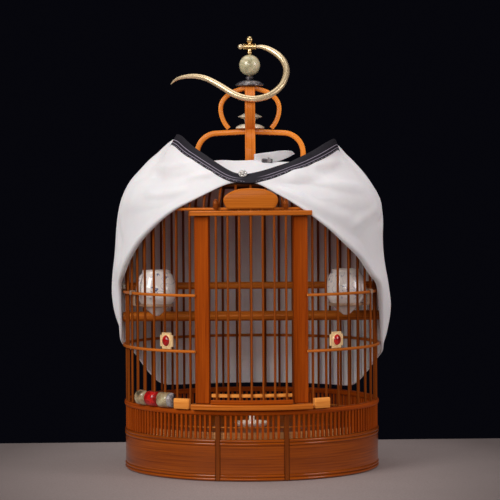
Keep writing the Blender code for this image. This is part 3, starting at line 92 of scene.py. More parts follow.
class Paint(Nodes):
    """A material's nodes; grain is the UV layer that runs along and across each piece, in metres."""

    def __init__(self, name):
        self.mat = bpy.data.materials.new(name)
        self.mat.use_nodes = True
        super().__init__(self.mat.node_tree)

    def ramp(self, value, stops, mode="LINEAR"):
        made = self.node("ValToRGB", {0: value})
        made.color_ramp.interpolation = mode
        elements = made.color_ramp.elements
        while len(elements) > 1:
            elements.remove(elements[-1])
        for k, (at, colour) in enumerate(stops):
            element = elements[0] if k == 0 else elements.new(at)
            element.position = at
            element.color = (*colour, 1) if isinstance(colour, tuple) else (colour, colour, colour, 1)
        return made.outputs[0]

    def gate(self, value, *stops):
        """0 up to the first stop and 1 from the second, then 1 up to the third and 0 from the fourth."""
        return self.ramp(value, zip(stops, (0, 1, 1, 0)))

    def mix(self, share, a, b, blend="MIX"):
        made = self.node("Mix", {0: share}, data_type="RGBA", blend_type=blend)
        for socket, value in ((made.inputs[6], a), (made.inputs[7], b)):
            self.put(socket, (*value, 1) if isinstance(value, tuple) else value)
        return made.outputs[2]

    def over(self, body, mask, share, colour):
        """A colour over the body, by a share of the mask."""
        return self.mix(self.times(mask, share), body, colour)

    def grain(self, scale=(1, 1, 1), source="uv"):
        if source == "uv":
            where = self.node("UVMap", uv_map="grain").outputs[0]
        else:
            where = self.node("TexCoord").outputs["Object"]
        return self.node("Mapping", {"Vector": where, "Scale": scale}).outputs[0]

    def place(self, scale=(1, 1, 1)):
        return self.grain(scale, "object")

    def noise(self, where, scale=1, detail=4, rough=0.55, warp=0):
        return self.node("TexNoise", {"Vector": where, "Scale": scale, "Detail": detail,
                                      "Roughness": rough, "Distortion": warp}).outputs[0]

    def cells(self, where, scale, randomness):
        return self.node("TexVoronoi", {"Vector": where, "Scale": scale, "Randomness": randomness}).outputs

    def wave(self, way, scale, warp=0, axis="X"):
        inputs = {"Vector": self.grain(way), "Scale": scale, "Distortion": warp}
        return self.node("TexWave", inputs, bands_direction=axis).outputs["Fac"]

    def bump(self, height, distance, strength):
        inputs = {"Height": height, "Distance": distance, "Strength": strength}
        return self.node("Bump", inputs).outputs[0]

    def edge(self, radius, low, high):
        """1 on rounded edges, 0 on open faces."""
        soft = self.node("Bevel", {"Radius": radius}, samples=4).outputs[0]
        flat = self.node("NewGeometry").outputs["Normal"]
        dot = self.node("VectorMath", {0: soft, 1: flat}, operation="DOT_PRODUCT").outputs["Value"]
        return self.gate(self.math("SUBTRACT", 1, dot), low, high)

    def done(self, colour, rough, normal, **inputs):
        inputs.update(Base_Color=colour, Roughness=rough, Normal=normal)
        for key, value in inputs.items():
            self.put(self.tree.nodes["Principled BSDF"].inputs[key.replace("_", " ")], value)
        return self.mat


def bamboo(name, light, mid, dark, source="uv", axis=0, edge_wear_and_highlight=0.25, gloss=0.15):
    """Varnished bamboo: long fibres, short dark flecks, a slow change of tone and lighter edges, partly wear
    and partly a painted highlight.
    """
    p = Paint(name)

    def streaks(along, across, detail=2, rough=0.5):
        scale = [across] * 3
        scale[axis] = along
        return p.noise(p.grain(scale, source), 1, detail, rough)

    fibre = streaks(9, 620, 5, 0.6)
    body = p.ramp(fibre, ((0.3, dark), (0.5, mid), (0.72, light)))
    slow = streaks(3, 38)
    tone = p.ramp(slow, ((0.32, (0.72, 0.66, 0.6)), (0.68, (1.16, 1.14, 1.1))))
    body = p.mix(0.85, body, tone, "MULTIPLY")
    flecks = p.gate(streaks(70, 1500), 0.66, 0.74)
    body = p.over(body, flecks, 0.45, tuple(c * 0.35 for c in dark))
    # Lighter rounded edges, partly wear and partly a painted highlight.
    if edge_wear_and_highlight:
        body = p.over(body, p.edge(0.0007, 0.02, 0.22), edge_wear_and_highlight, tuple(min(1, c * 1.35 + 0.02) for c in light))
    rough = p.ramp(slow, ((0.3, 0.36), (0.7, 0.5)))
    return p.done(body, rough, p.bump(fibre, 0.00025, 0.35), Specular_IOR_Level=0.2,
                  Specular_Tint=(1, 0.45, 0.12, 1), Coat_Weight=gloss, Coat_Roughness=0.14)


def stone(name, light, dark, patch, scale, rough=0.16):
    """Polished stone with cloudy patches and fine dark veins."""
    p = Paint(name)
    place = p.place()
    body = p.ramp(p.noise(place, scale, 5, 0.62, 0.8), ((0.34, dark), (0.5, patch), (0.62, light)))
    vein = p.noise(place, scale * 2.3, 8, 0.7, 2.2)
    body = p.over(body, p.ramp(vein, ((0.46, 0), (0.495, 1), (0.53, 0))), 0.55, dark)
    speck = p.noise(place, scale * 14, 3, 0.6)
    return p.done(body, rough, p.bump(speck, 0.00012, 0.25), Coat_Weight=0.4, Coat_Roughness=0.05,
                  Subsurface_Weight=0.08, Subsurface_Scale=0.004)


def metal(name, colour, dull, rough=0.22, metallic=1, engraved=False):
    """Cast and polished metal; the hook's is engraved with dotted sprays."""
    p = Paint(name)
    place = p.place()
    cloud = p.noise(place, 160, 4, 0.6)
    body = p.mix(p.ramp(cloud, ((0.45, 0), (0.75, 0.55))), colour, dull)
    height, depth = p.noise(place, 900, 3, 0.6), 0.00005
    if engraved:
        spray = p.grain()
        flower = p.cells(spray, 170, 0.35)["Distance"]
        dots = p.ramp(p.cells(spray, 520, 0.7)["Distance"], ((0.22, 1), (0.34, 0)))
        cut = p.times(p.gate(flower, 0.16, 0.24, 0.4, 0.48), dots)
        cut = p.math("MAXIMUM", cut, p.ramp(flower, ((0.05, 1), (0.1, 0))))
        patch = p.noise(p.grain((28, 40, 1)), 1, 1, 0.5)
        cut = p.times(cut, p.gate(patch, 0.4, 0.47))
        body = p.over(body, cut, 0.72, tuple(c * 0.16 for c in colour))
        height, depth = p.math("SUBTRACT", p.times(height, 0.15), cut), 0.0003
    # Lighter rounded edges: a painted highlight.
    body = p.over(body, p.edge(0.0005, 0.02, 0.25), 0.35, tuple(min(1, c * 1.2) for c in colour))
    rough = p.ramp(cloud, ((0.3, rough), (0.7, rough + 0.14)))
    return p.done(body, rough, p.bump(height, depth, 0.6), Metallic=metallic)


def cloth(name, low, high):
    """White woven cotton, slightly cool, with a fine weave and faint handling marks."""
    p = Paint(name)
    weave = p.math("ADD", p.wave((1, 0, 0), 420, 0.4), p.wave((0, 1, 0), 420, 0.4, "Y"))
    slub = p.noise(p.grain((260, 14, 1)), 1, 3, 0.6)
    body = p.ramp(p.noise(p.place(), 14, 4, 0.6), ((0.3, low), (0.7, high)))
    body = p.over(body, p.gate(slub, 0.55, 0.8), 0.25, (0.7, 0.69, 0.7))
    height = p.math("ADD", weave, p.times(slub, 0.8))
    return p.done(body, 0.86, p.bump(height, 0.00012, 0.45), Sheen_Weight=0.25, Sheen_Roughness=0.5,
                  Subsurface_Weight=0.12, Subsurface_Scale=0.003, Specular_IOR_Level=0.25)


def ribbon():
    """Black grosgrain with two thin lilac-grey stripes, faded out at the middle as painted shade, and a fine
    cross rib.
    """
    p = Paint("ribbon_black")
    along, across = p.node("SeparateXYZ", {0: p.node("UVMap", uv_map="grain").outputs[0]}).outputs[:2]
    rib = p.wave((1, 0, 0), 330)
    worn = p.noise(p.grain((60, 200, 1)), 1, 4, 0.6)
    body = p.ramp(worn, ((0.3, (0.01, 0.009, 0.013)), (0.75, (0.026, 0.023, 0.032))))
    stripes = p.ramp(across, ((0, 0), (0.185, 0), (0.195, 1), (0.235, 1), (0.245, 0), (0.42, 0),
                              (0.43, 1), (0.47, 1), (0.48, 0), (1, 0)))
    # The stripes fade out towards the middle: painted shade.
    away = p.times(p.math("ABSOLUTE", along), 10)
    stripes = p.times(stripes, p.gate(away, 0.07, 0.24))
    body = p.mix(stripes, body, p.ramp(worn, ((0.3, (0.24, 0.21, 0.27)), (0.7, (0.36, 0.32, 0.4)))))
    height = p.math("ADD", rib, p.times(stripes, 1.2))
    return p.done(body, p.ramp(worn, ((0.3, 0.58), (0.7, 0.74))), p.bump(height, 0.00015, 0.5),
                  Specular_IOR_Level=0.25)


def porcelain(name, low, high, coat=0.6, flowers=False):
    """Glazed porcelain; the feeding cups carry a generic scatter of small blue and pink blossoms."""
    p = Paint(name)
    place = p.place()
    cloud = p.noise(place, 90, 3, 0.5)
    body = p.ramp(cloud, ((0.3, low), (0.7, high)))
    if flowers:
        spread = p.grain()
        cell = p.cells(spread, 66, 0.8)
        near = cell["Distance"]
        petal = p.ramp(p.cells(spread, 260, 1)["Distance"], ((0.36, 1), (0.48, 0)))
        heart = p.ramp(near, ((0.03, 1), (0.06, 0)))
        pick = p.node("SeparateColor", {0: cell["Color"]}).outputs[0]
        hue = p.ramp(pick, ((0, (0.03, 0.05, 0.2)), (0.45, (0.5, 0.08, 0.16)), (0.62, (0.06, 0.1, 0.22))),
                     "CONSTANT")
        stem = p.gate(p.noise(p.grain((60, 60, 1)), 1, 1, 0.5, 0.6), 0.485, 0.498, 0.502, 0.515)
        across = p.node("SeparateXYZ", {0: p.node("UVMap", uv_map="grain").outputs[0]}).outputs[1]
        level = p.times(across, 10)
        zone = p.gate(level, 0.2, 0.27, 0.54, 0.58)
        petals = p.times(p.gate(near, 0.06, 0.1, 0.32, 0.4), petal)
        for shape, share, colour in ((stem, 0.55, (0.07, 0.16, 0.3)), (petals, 0.85, hue),
                                     (heart, 0.8, (0.65, 0.42, 0.08))):
            body = p.over(body, p.times(shape, zone), share, colour)
        body = p.over(body, p.gate(level, 0.64, 0.645, 0.655, 0.66), 0.8, (0.05, 0.1, 0.4))
    rough = p.ramp(cloud, ((0.3, 0.1), (0.7, 0.18)))
    return p.done(body, rough, p.bump(p.noise(place, 45, 2, 0.5), 0.0003, 0.15), Coat_Weight=coat,
                  Coat_Roughness=0.04, Subsurface_Weight=0.08, Subsurface_Scale=0.002)


AMBER = bamboo("bamboo_amber", (0.4, 0.076, 0.004), (0.3, 0.049, 0.0024), (0.17, 0.022, 0.001), gloss=0.04)
ORANGE = bamboo("bamboo_orange", (0.86, 0.29, 0.046), (0.72, 0.205, 0.026), (0.46, 0.105, 0.01))
# A brighter copy of the handle's bamboo for its side strips: painted light.
ARCH_PAINTED_LIGHT = bamboo("bamboo_arch_painted_light", (0.98, 0.4, 0.07), (0.88, 0.29, 0.038), (0.58, 0.15, 0.014), gloss=0.35)
FRAME = bamboo("bamboo_frame", (0.56, 0.165, 0.024), (0.44, 0.115, 0.012), (0.27, 0.056, 0.005))
DEEP = bamboo("bamboo_deep", (0.335, 0.074, 0.003), (0.255, 0.049, 0.002), (0.135, 0.022, 0.001), gloss=0.6)
STICK = bamboo("bamboo_stick", (0.3, 0.074, 0.009), (0.205, 0.043, 0.004), (0.09, 0.016, 0.002), gloss=0.08)
# Near-black bamboo for the shoulder ring under the cover: painted shade.
SHOULDER_PAINTED_SHADE = bamboo("bamboo_shoulder_painted_shade", (0.085, 0.018, 0.003), (0.05, 0.01, 0.002), (0.024, 0.005, 0.001),
                  gloss=0.04)
RIB_LOOK = bamboo("bamboo_rib", (0.19, 0.044, 0.004), (0.135, 0.027, 0.003), (0.07, 0.012, 0.001), gloss=0.25)
FACE = bamboo("bamboo_face", (0.58, 0.175, 0.019), (0.49, 0.132, 0.012), (0.33, 0.078, 0.007))
KNOB = bamboo("bamboo_knob", (0.34, 0.082, 0.008), (0.24, 0.05, 0.005), (0.12, 0.022, 0.003))
PALE = bamboo("bamboo_pale_face", (0.86, 0.38, 0.085), (0.74, 0.27, 0.048), (0.52, 0.155, 0.022))
END = bamboo("bamboo_cut_end", (0.86, 0.44, 0.14), (0.74, 0.32, 0.08), (0.5, 0.17, 0.034), edge_wear_and_highlight=0)
# A light colour for the tray rim, which lies in shade behind the short bars: painted light.
RIM_PAINTED_LIGHT = bamboo("bamboo_tray_rim_painted_light", (0.84, 0.46, 0.21), (0.78, 0.39, 0.16), (0.6, 0.25, 0.09), gloss=0.04)
BOARD = bamboo("bamboo_board", (0.36, 0.115, 0.018), (0.27, 0.075, 0.01), (0.14, 0.032, 0.005), "object", 1)
# A darker bamboo for the tray floor, seen through the short bars: painted shade.
FLOOR_PAINTED_SHADE = bamboo("bamboo_floor_painted_shade", (0.3, 0.08, 0.006), (0.22, 0.05, 0.003), (0.12, 0.022, 0.002), "object")
# A light colour for the thin ring inside the short bars, seen between them as lit dots: painted light.
INNER_RING_PAINTED_LIGHT = bamboo("bamboo_inner_ring_painted_light", (0.6, 0.23, 0.06), (0.48, 0.165, 0.036), (0.3, 0.085, 0.014), gloss=0.04)
POLE = bamboo("bamboo_pole", (0.64, 0.2, 0.024), (0.49, 0.128, 0.014), (0.26, 0.055, 0.006), "object")
ROOF = bamboo("bamboo_roof", (0.48, 0.145, 0.022), (0.38, 0.094, 0.011), (0.21, 0.044, 0.006), "object")
JADE = stone("jade_cloudy", (0.74, 0.66, 0.44), (0.14, 0.13, 0.07), (0.5, 0.46, 0.28), 38)
BEAD_JADE = stone("jade_bead", (0.54, 0.46, 0.28), (0.07, 0.05, 0.03), (0.34, 0.25, 0.14), 48)
JADE_PALE = stone("jade_pale", (1, 0.9, 0.7), (0.28, 0.29, 0.22), (0.66, 0.62, 0.47), 85, 0.22)
DARK = stone("stone_dark", (0.34, 0.31, 0.31), (0.016, 0.016, 0.019), (0.075, 0.068, 0.076), 70, 0.18)
RED = stone("stone_red", (0.62, 0.012, 0.01), (0.16, 0.003, 0.004), (0.4, 0.006, 0.006), 130, 0.12)
BRASS = metal("brass_plain", (0.86, 0.62, 0.3), (0.52, 0.34, 0.13))
BRASS_DARK = metal("brass_dark", (0.46, 0.3, 0.2), (0.24, 0.145, 0.09), 0.45, 0.5)
ENGRAVED = metal("brass_engraved", (0.92, 0.72, 0.44), (0.66, 0.48, 0.26), 0.26, 0.72, True)
GILT = metal("gilt_plate", (1, 0.72, 0.38), (0.84, 0.52, 0.24), 0.34, 0.4)
SILVER = metal("silver_clasp", (0.82, 0.8, 0.76), (0.34, 0.32, 0.31), 0.28, 0.6)
THREAD = metal("thread_grey", (0.3, 0.28, 0.33), (0.2, 0.18, 0.22), 0.6, 0)
COTTON = cloth("cover_cotton", (0.74, 0.735, 0.755), (0.82, 0.815, 0.825))
# The cover's cotton at 0.78 of its colour for the flap: painted shade.
FLAP_COTTON_SHADED = cloth("flap_cotton_painted_shade", (0.5772, 0.5733, 0.5889), (0.6396, 0.6357, 0.6435))
RIBBON = ribbon()
CUP_WHITE = porcelain("porcelain_flowered", (0.798, 0.722, 0.6675), (0.882, 0.7885, 0.7298), flowers=True)
WHITE = porcelain("porcelain_white", (0.836, 0.6992, 0.585), (0.924, 0.7636, 0.6396))
BONE = porcelain("bone_cream", (0.86, 0.78, 0.62), (0.96, 0.9, 0.76), 0.2)


# Shapes: points, faces, grain coordinates and a look for each face

def vec(*xyz):
    return Vector(xyz)


def add_object(name, data):
    made = bpy.data.objects.new(name, data)
    bpy.context.scene.collection.objects.link(made)
    return made


def ring_point(angle, radius, z):
    return vec(radius * sin(angle), -radius * cos(angle), z)


def wall_frame(angle):
    """Right, up and out where the wall stands at an angle from the front."""
    return (vec(cos(angle), sin(angle), 0), vec(0, 0, 1),
            vec(sin(angle), -cos(angle), 0))


def read(rows, at):
    """Straight reading between the rows of a table of two columns."""
    if at <= rows[0][0]:
        return rows[0][1]
    for low, high in zip(rows, rows[1:]):
        if at <= high[0]:
            part = (at - low[0]) / (high[0] - low[0])
            return low[1] + (high[1] - low[1]) * part
    return rows[-1][1]


def ease(low, high, at):
    part = min(1, max(0, (at - low) / (high - low)))
    return part * part * (3 - 2 * part)


def arc(radius, start, end, steps, rise=None, x=0, y=0):
    """Pairs along an arc about (x, y); rise is its upright half size where that differs."""
    angles = [start + (end - start) * k / steps for k in range(steps + 1)]
    return [(x + radius * cos(a), y + (rise or radius) * sin(a)) for a in angles]


def rounded(width, height, radius, steps=3):
    """A rounded rectangle about the middle, as (across, up) pairs."""
    points = []
    for sx, sy, turn in ((1, -1, -0.5), (1, 1, 0), (-1, 1, 0.5), (-1, -1, 1)):
        for k in range(steps + 1):
            angle = pi * (turn + 0.5 * k / steps)
            points.append((sx * (width / 2 - radius) + radius * cos(angle),
                           sy * (height / 2 - radius) + radius * sin(angle)))
    return points


def spline(points, steps=6):
    """A smooth curve through the points."""
    made = []
    last = len(points) - 1
    for k in range(last):
        a, b, c, d = points[max(k - 1, 0)], points[k], points[k + 1], points[min(k + 2, last)]
        for s in range(steps):
            t = s / steps
            made.append(0.5 * (2 * b + (c - a) * t + (2 * a - 5 * b + 4 * c - d) * t * t
                               + (3 * b - a - 3 * c + d) * t * t * t))
    return made + [points[-1]]


def smooth(pairs, steps):
    """The same for pairs of numbers."""
    return [(p.x, p.y) for p in spline([vec(x, y, 0) for x, y in pairs], steps)]


def tangents(points):
    last = len(points) - 1
    return [(points[min(k + 1, last)] - points[max(k - 1, 0)]).normalized() for k in range(last + 1)]


class Shape:
    """One piece as it is built: u runs along the grain and v across it, in metres."""

    def __init__(self, parts=0):
        self.points, self.faces, self.coords, self.looks = [], [], [], []
        self.parts = parts

    def face(self, ids, coords, look=0):
        self.faces.append(ids)
        self.coords.append(coords)
        self.looks.append(look)

    def skin(self, stations, closed=False, look=0, cap_look=None, open_section=False):
        """A skin over stations of the same number of points; u runs from station to station."""
        self.parts += 1
        slide = (self.parts * 0.731) % 1
        count, last, base = len(stations[0]), len(stations), len(self.points)
        for station in stations:
            self.points += station
        along, around = [slide], [slide * 3]
        ring = stations + [stations[0]] if closed else stations
        for one, two in zip(ring, ring[1:]):
            along.append(along[-1] + sum((b - a).length for a, b in zip(one, two)) / count)
        widest = max(stations, key=lambda s: sum((s[k] - s[k - 1]).length for k in range(count)))
        for k in range(count):
            around.append(around[-1] + (widest[(k + 1) % count] - widest[k]).length)
        for i in range(last if closed else last - 1):
            one, two = base + i * count, base + ((i + 1) % last) * count
            for k in range(count - 1 if open_section else count):
                n = (k + 1) % count
                self.face((one + k, one + n, two + n, two + k),
                          ((along[i], around[k]), (along[i], around[k + 1]),
                           (along[i + 1], around[k + 1]), (along[i + 1], around[k])), look)
        cap_look = look if cap_look is None else cap_look
        for i in (() if closed else (0, last - 1)):
            station = stations[i]
            flat = [((p - station[0]).length, 0.5 * (p - station[count // 2]).length) for p in station]
            self.face([base + i * count + k for k in range(count)], flat, cap_look)
        return self

    def add(self, other, move):
        """Another shape's faces, with its points moved."""
        offset = len(self.points)
        self.points += [move(p) for p in other.points]
        for ids, coords, look in zip(other.faces, other.coords, other.looks):
            self.face([k + offset for k in ids], coords, look)

    def hoop(self, low, high, inner, outer, soft, start=0, end=TURN, steps=180, look=0):
        """A bent flat strip round the cage, with rounded edges and, if it is open, eased ends."""
        middle, rise = (inner + outer) / 2, (low + high) / 2
        section = rounded(outer - inner, high - low, soft)
        closed = abs(end - start - TURN) < 0.0001
        if closed:
            angles = [(start + TURN * k / steps, 1) for k in range(steps)]
        else:
            ease_angle = soft * 0.7 / middle
            angles = [(start, 0.82), (start + ease_angle, 1)]
            angles += [(start + (end - start) * k / steps, 1) for k in range(1, steps)]
            angles += [(end - ease_angle, 1), (end, 0.82)]
        stations = [[ring_point(a, middle + x * s, rise + y * s) for x, y in section] for a, s in angles]
        return self.skin(stations, closed, look, 1)

    def turned(self, outline, steps=48, centre=(0, 0), start=0, end=TURN, look=0, closed_outline=False):
        """An outline of (radius, z) turned about an upright axis."""
        shift = vec(*centre, 0)
        full = abs(end - start - TURN) < 0.0001
        stations = [[ring_point(start + (end - start) * k / steps, r, z) + shift for r, z in outline]
                    for k in range(steps if full else steps + 1)]
        return self.skin(stations, full, look, None, full and not closed_outline)

    def rod(self, points, radii, sides=10, look=0, cap_look=None, normal=None):
        """A round rod along points."""
        if normal is None:
            normal = (points[-1] - points[0]).normalized().orthogonal().normalized()
            for a, b, c in zip(points, points[1:], points[2:]):
                cross = (b - a).cross(c - b)
                if cross.length > 1e-9:
                    normal = cross.normalized()
                    break
        if not hasattr(radii, "__len__"):
            radii = [radii] * len(points)
        stations = []
        for point, tangent, radius in zip(points, tangents(points), radii):
            side = tangent.cross(normal).normalized()
            up = side.cross(tangent)
            stations.append([point + (side * cos(TURN * s / sides) + up * sin(TURN * s / sides)) * radius
                             for s in range(sides)])
        return self.skin(stations, False, look, cap_look)

    def strip(self, points, width, thickness, across, soft=0.0011, cap_look=1):
        """A flat strip with rounded edges along points in a plane square to its width."""
        section = rounded(width, thickness, soft)
        return self.skin([[point + across * x + tangent.cross(across).normalized() * y for x, y in section]
                          for point, tangent in zip(points, tangents(points))], False, 0, cap_look)

    def block(self, centre, axes, width, height, depth, soft=0.0008, cap_look=1):
        """A block whose grain runs up, with eased edges and ends."""
        right, up, out = axes
        stations = []
        for level, size in ((-0.5, 0), (-0.5, 1), (0.5, 1), (0.5, 0)):
            inset = soft * (1 - size)
            section = rounded(width - 2 * inset, depth - 2 * inset, max(soft - inset * 0.5, 0.0002))
            lift = height * level - copysign(soft * size, level)
            stations.append([centre + right * x + out * y + up * lift for x, y in section])
        return self.skin(stations, False, 0, cap_look)

    def dome(self, centre, axes, wide, high, rise, rings=7, steps=36):
        """A polished oval dome on a flat back."""
        right, up, out = axes
        stations = []
        for size, depth in arc(1, 0, pi / 2, rings):
            stations.append([centre + out * (rise * depth) + right * (wide * size * cos(TURN * s / steps))
                             + up * (high * size * sin(TURN * s / steps)) for s in range(steps)])
        return self.skin(stations)

    def make(self, name, looks, *replaces, body="cage", slot="bamboo", smooth=38):
        """The finished piece, with its body and the CAD nodes that it replaces; the slot is not used."""
        bm = bmesh.new()
        verts = [bm.verts.new(p) for p in self.points]
        layer = bm.loops.layers.uv.new("grain")
        for ids, coords, look in zip(self.faces, self.coords, self.looks):
            made = bm.faces.new([verts[k] for k in ids])
            made.material_index = look
            for loop, at in zip(made.loops, coords):
                loop[layer].uv = at
        bmesh.ops.remove_doubles(bm, verts=bm.verts[:], dist=0.000001)
        bmesh.ops.recalc_face_normals(bm, faces=bm.faces[:])
        mesh = bpy.data.meshes.new(name)
        bm.to_mesh(mesh)
        bm.free()
        made = add_object(name, mesh)
        for look in looks:
            mesh.materials.append(look)
        mesh.shade_smooth()
        mesh.set_sharp_from_angle(angle=radians(smooth))
        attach(made, body)
        if replaces:
            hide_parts(*replaces)
        return made


def cut_with(target, cutter):
    """Cut one piece with another, which is then removed."""
    tool = target.modifiers.new("cut", "BOOLEAN")
    tool.operation = "DIFFERENCE"
    tool.solver = "EXACT"
    tool.object = cutter
    bpy.context.view_layer.update()
    solid = bpy.data.meshes.new_from_object(target.evaluated_get(bpy.context.evaluated_depsgraph_get()))
    target.modifiers.remove(tool)
    target.data = solid
    bpy.data.objects.remove(cutter, do_unlink=True)


def lay_grain(piece, place):
    """The grain coordinates of a finished piece, from where each point is."""
    grain = piece.data.uv_layers["grain"].data
    for loop in piece.data.loops:
        grain[loop.index].uv = place(piece.data.vertices[loop.vertex_index].co)


UP = vec(0, 0, 1)
ACROSS_X = vec(1, 0, 0)
ACROSS_Y = vec(0, 1, 0)
SIDES = ((-1, "left"), (1, "right"))
QUARTER = pi / 2


def mm(*pairs):
    """Pairs in millimetres, as metres."""
    return [(a / 1000, b / 1000) for a, b in pairs]


# Base, floor and the close row of short bars

BAND_OUT, BAND_IN = 0.1642, 0.1602
RIB = radians(15)
HALF_RIB = 0.0032 / BAND_IN
SHORT_BARS = 156
RIM_IN, RIM_FOOT = 0.1565, 0.049


def band_outline(recess):
    """The base band's face with its round double bead at the foot and at the top."""
    face = BAND_OUT - recess

    def beads(*heights):
        return [pair for z in heights for pair in arc(0.0018, -QUARTER, QUARTER, 8, 0.002, face - 0.0009, z)]

    return ([(BAND_IN, 0)] + beads(0.002, 0.006) + [(face, 0.0083), (face, 0.0427)] + beads(0.045, 0.049)
            + [(BAND_IN, 0.051)])


for name, node, recess, steps, start, end in (
        ("band_round", "base_band", 0, 200, RIB + HALF_RIB, TURN - RIB - HALF_RIB),
        ("band_front", "base_front_panel", 0.0007, 20, HALF_RIB - RIB, RIB - HALF_RIB)):
    shape = Shape().turned(band_outline(recess), steps, start=start, end=end, closed_outline=True)
    shape.make(name, [DEEP], node, smooth=50)
for side, name in SIDES:
    place = ring_point(side * RIB, 0.162, 0.04015)
    shape = Shape().block(place, wall_frame(side * RIB), 0.0058, 0.0803, 0.0062, 0.0009)
    shape.make("rib_" + name, [RIB_LOOK, END], "base_rib_" + name, slot="bamboo_dark")

shape = Shape().turned(mm((0, 0.1), (158, 0.1), (158.6, 0.7), (158.6, 3.8), (158, 4.4), (0, 4.4)), 120)
shape.make("board_round", [BOARD], "bottom_board", slot="bamboo_dark")
TRAY = mm((0, 45.3), (153.4, 45.3), (153.4, 4.8), (157.4, 4.8), (157.4, 49.6), (157.4, 58.3), (156.8, 59.1),
          (154, 59.1), (153.4, 58.3), (153.4, 49.8), (152.8, 49.2), (0, 49.2))
shape = Shape().turned(TRAY, 140)
# Look 0, the floor, is painted shade; look 1, the rim's faces, is painted light.
shape.looks = [int(all(hypot(p.x, p.y) > RIM_IN and p.z > RIM_FOOT for p in (shape.points[k] for k in ids)))
               for ids in shape.faces]
shape.make("tray_round", [FLOOR_PAINTED_SHADE, RIM_PAINTED_LIGHT], "tray")
DISH = mm((0, 49.6), (17.8, 49.6), (19, 50), (21.4, 52.6), (22.8, 54.9), (22.7, 55.7), (21.7, 55.8),
          (20.9, 55), (19.2, 52.6), (17.2, 51.7), (4.2, 51.6), (3.7, 52.4), (3.7, 64), (3, 65.1), (0, 65.5))
shape = Shape().turned(DISH, 48)
shape.make("dish_white", [WHITE], "floor_dish", slot="porcelain")

ring = (mm((158.3, 81.2), (158.9, 80.7)) + arc(0.00165, -QUARTER, QUARTER, 8, 0.0032, 0.16385, 0.0839)
        + mm((158.9, 87.1), (158.3, 86.6)))
shape = Shape().turned(ring, 208, closed_outline=True)
for k in range(SHORT_BARS):
    angle = TURN * k / SHORT_BARS
    if abs(min(angle, TURN - angle) - RIB) >= 0.0047 / R:
        shape.block(ring_point(angle, R, 0.0665), wall_frame(angle), 0.003, 0.0304, 0.003, 0.0006, 0)
# A thin ring inside the short bars in a light colour: painted light, showing as lit dots between the bars.
shape.hoop(0.0646, 0.0664, 0.1588, 0.1604, 0.0005, look=1)
shape.make("ring_and_short_bars", [AMBER, INNER_RING_PAINTED_LIGHT], "main_ring")


# Wall bars, hoops and roof

POST_TURN = radians(21.99)
POST_WIDTH = 0.0189
HOOP_END = POST_TURN + (POST_WIDTH / 2 - 0.002) / HOOP_IN

# The shoulder ring, look 2, is coloured near-black as painted shade.
shape = Shape().hoop(0.3605, 0.3662, 0.1448, 0.1508, 0.0014, look=2)
for n in range(-3, BARS - 3):
    angle = n * PITCH
    foot = HOOP_TOP_Z if n < 4 else SILL_Z
    points = [ring_point(angle, R, foot), ring_point(angle, R, (foot + 0.33) / 2)]
    knots = ((R, 0.33), (R, 0.3363), (0.1582, 0.3504), (0.15, 0.362))
    points += spline([ring_point(angle, r, z) for r, z in knots], 4)
    if n < 4:
        del points[1:3]
    shape.rod(points, BAR, 12, 0, 1, wall_frame(angle)[0])
shape.make("bars_and_shoulder", [STICK, END, SHOULDER_PAINTED_SHADE], "wall_bars", smooth=50)

for name, low, start in (("hoop_low", 0.1565, HOOP_END), ("hoop_high", HOOP_HIGH_Z, HOOP_END),
                         ("hoop_top", HOOP_TOP_Z, 0)):
    shape = Shape().hoop(low, low + HOOP_HEIGHT, HOOP_IN, HOOP_OUT, 0.0009, start, TURN - start)
    shape.make(name + "_round", [FRAME, END], name)

TOP_PLATE = mm((0, 385.1), (79.4, 385.1), (80, 385.7), (80, 390.3), (79.4, 390.9), (0, 390.9))
shape = Shape().turned(TOP_PLATE, 104)
for k in range(26):
    angle = TURN * (k + 0.5) / 26
    points = spline([ring_point(angle, r, z) for r, z in mm((147.9, 365.8), (113.5, 379.1), (79, 388))], 5)
    shape.rod(points, BAR, 10, 0, 0, wall_frame(angle)[0])
shape.make("roof_round", [ROOF], "roof")


# Door frame and door

BLOCK_TURN = radians(30.95)
FRAME_HALF = asin(0.1515 / 2 / FRAME_OUT)
POST_HEIGHT = LINTEL_Z - CLEAR - POST_FOOT
ACROSS_FRAME = (-FRAME_HALF, FRAME_HALF, 48)
shape = Shape().hoop(SILL_Z, SILL_Z + 0.0066, FRAME_OUT - 0.0135, FRAME_OUT, 0.001, *ACROSS_FRAME)
shape.make("sill_round", [FRAME, END], "sill")
for side, name in SIDES:
    place = ring_point(side * POST_TURN, HOOP_IN - 2 * CLEAR - 0.0028, POST_FOOT + POST_HEIGHT / 2)
    shape = Shape().block(place, wall_frame(side * POST_TURN), POST_WIDTH, POST_HEIGHT, 0.0056, 0.001)
    shape.make("post_" + name, [AMBER, END], "door_post_" + name)
    right, up, out = wall_frame(side * BLOCK_TURN)
    place = ring_point(side * BLOCK_TURN, WALL_OUT + CLEAR + 0.0031, SILL_Z + 0.0065)
    shape = Shape().block(place, (up, right, out), 0.013, 0.0226, 0.0062, 0.0011)
    shape.make("end_piece_" + name, [PALE, END], "end_block_" + name, slot="bamboo_pale")

DOOR_ANGLES = [asin(k * 0.01425 / DOOR_R) for k in range(-3, 4)]
shape = Shape().hoop(LINTEL_Z, LINTEL_Z + 0.0062, R - BAR, FRAME_OUT, 0.001, *ACROSS_FRAME)
lintel = shape.make("lintel_round", [FRAME, END], "lintel", slot="bamboo_pale")
drill = Shape()
for angle in DOOR_ANGLES:
    drill.rod([ring_point(angle, DOOR_R, z) for z in (0.32, 0.337)], 0.0018, 16)
cut_with(lintel, drill.make("lintel_drill", [END]))

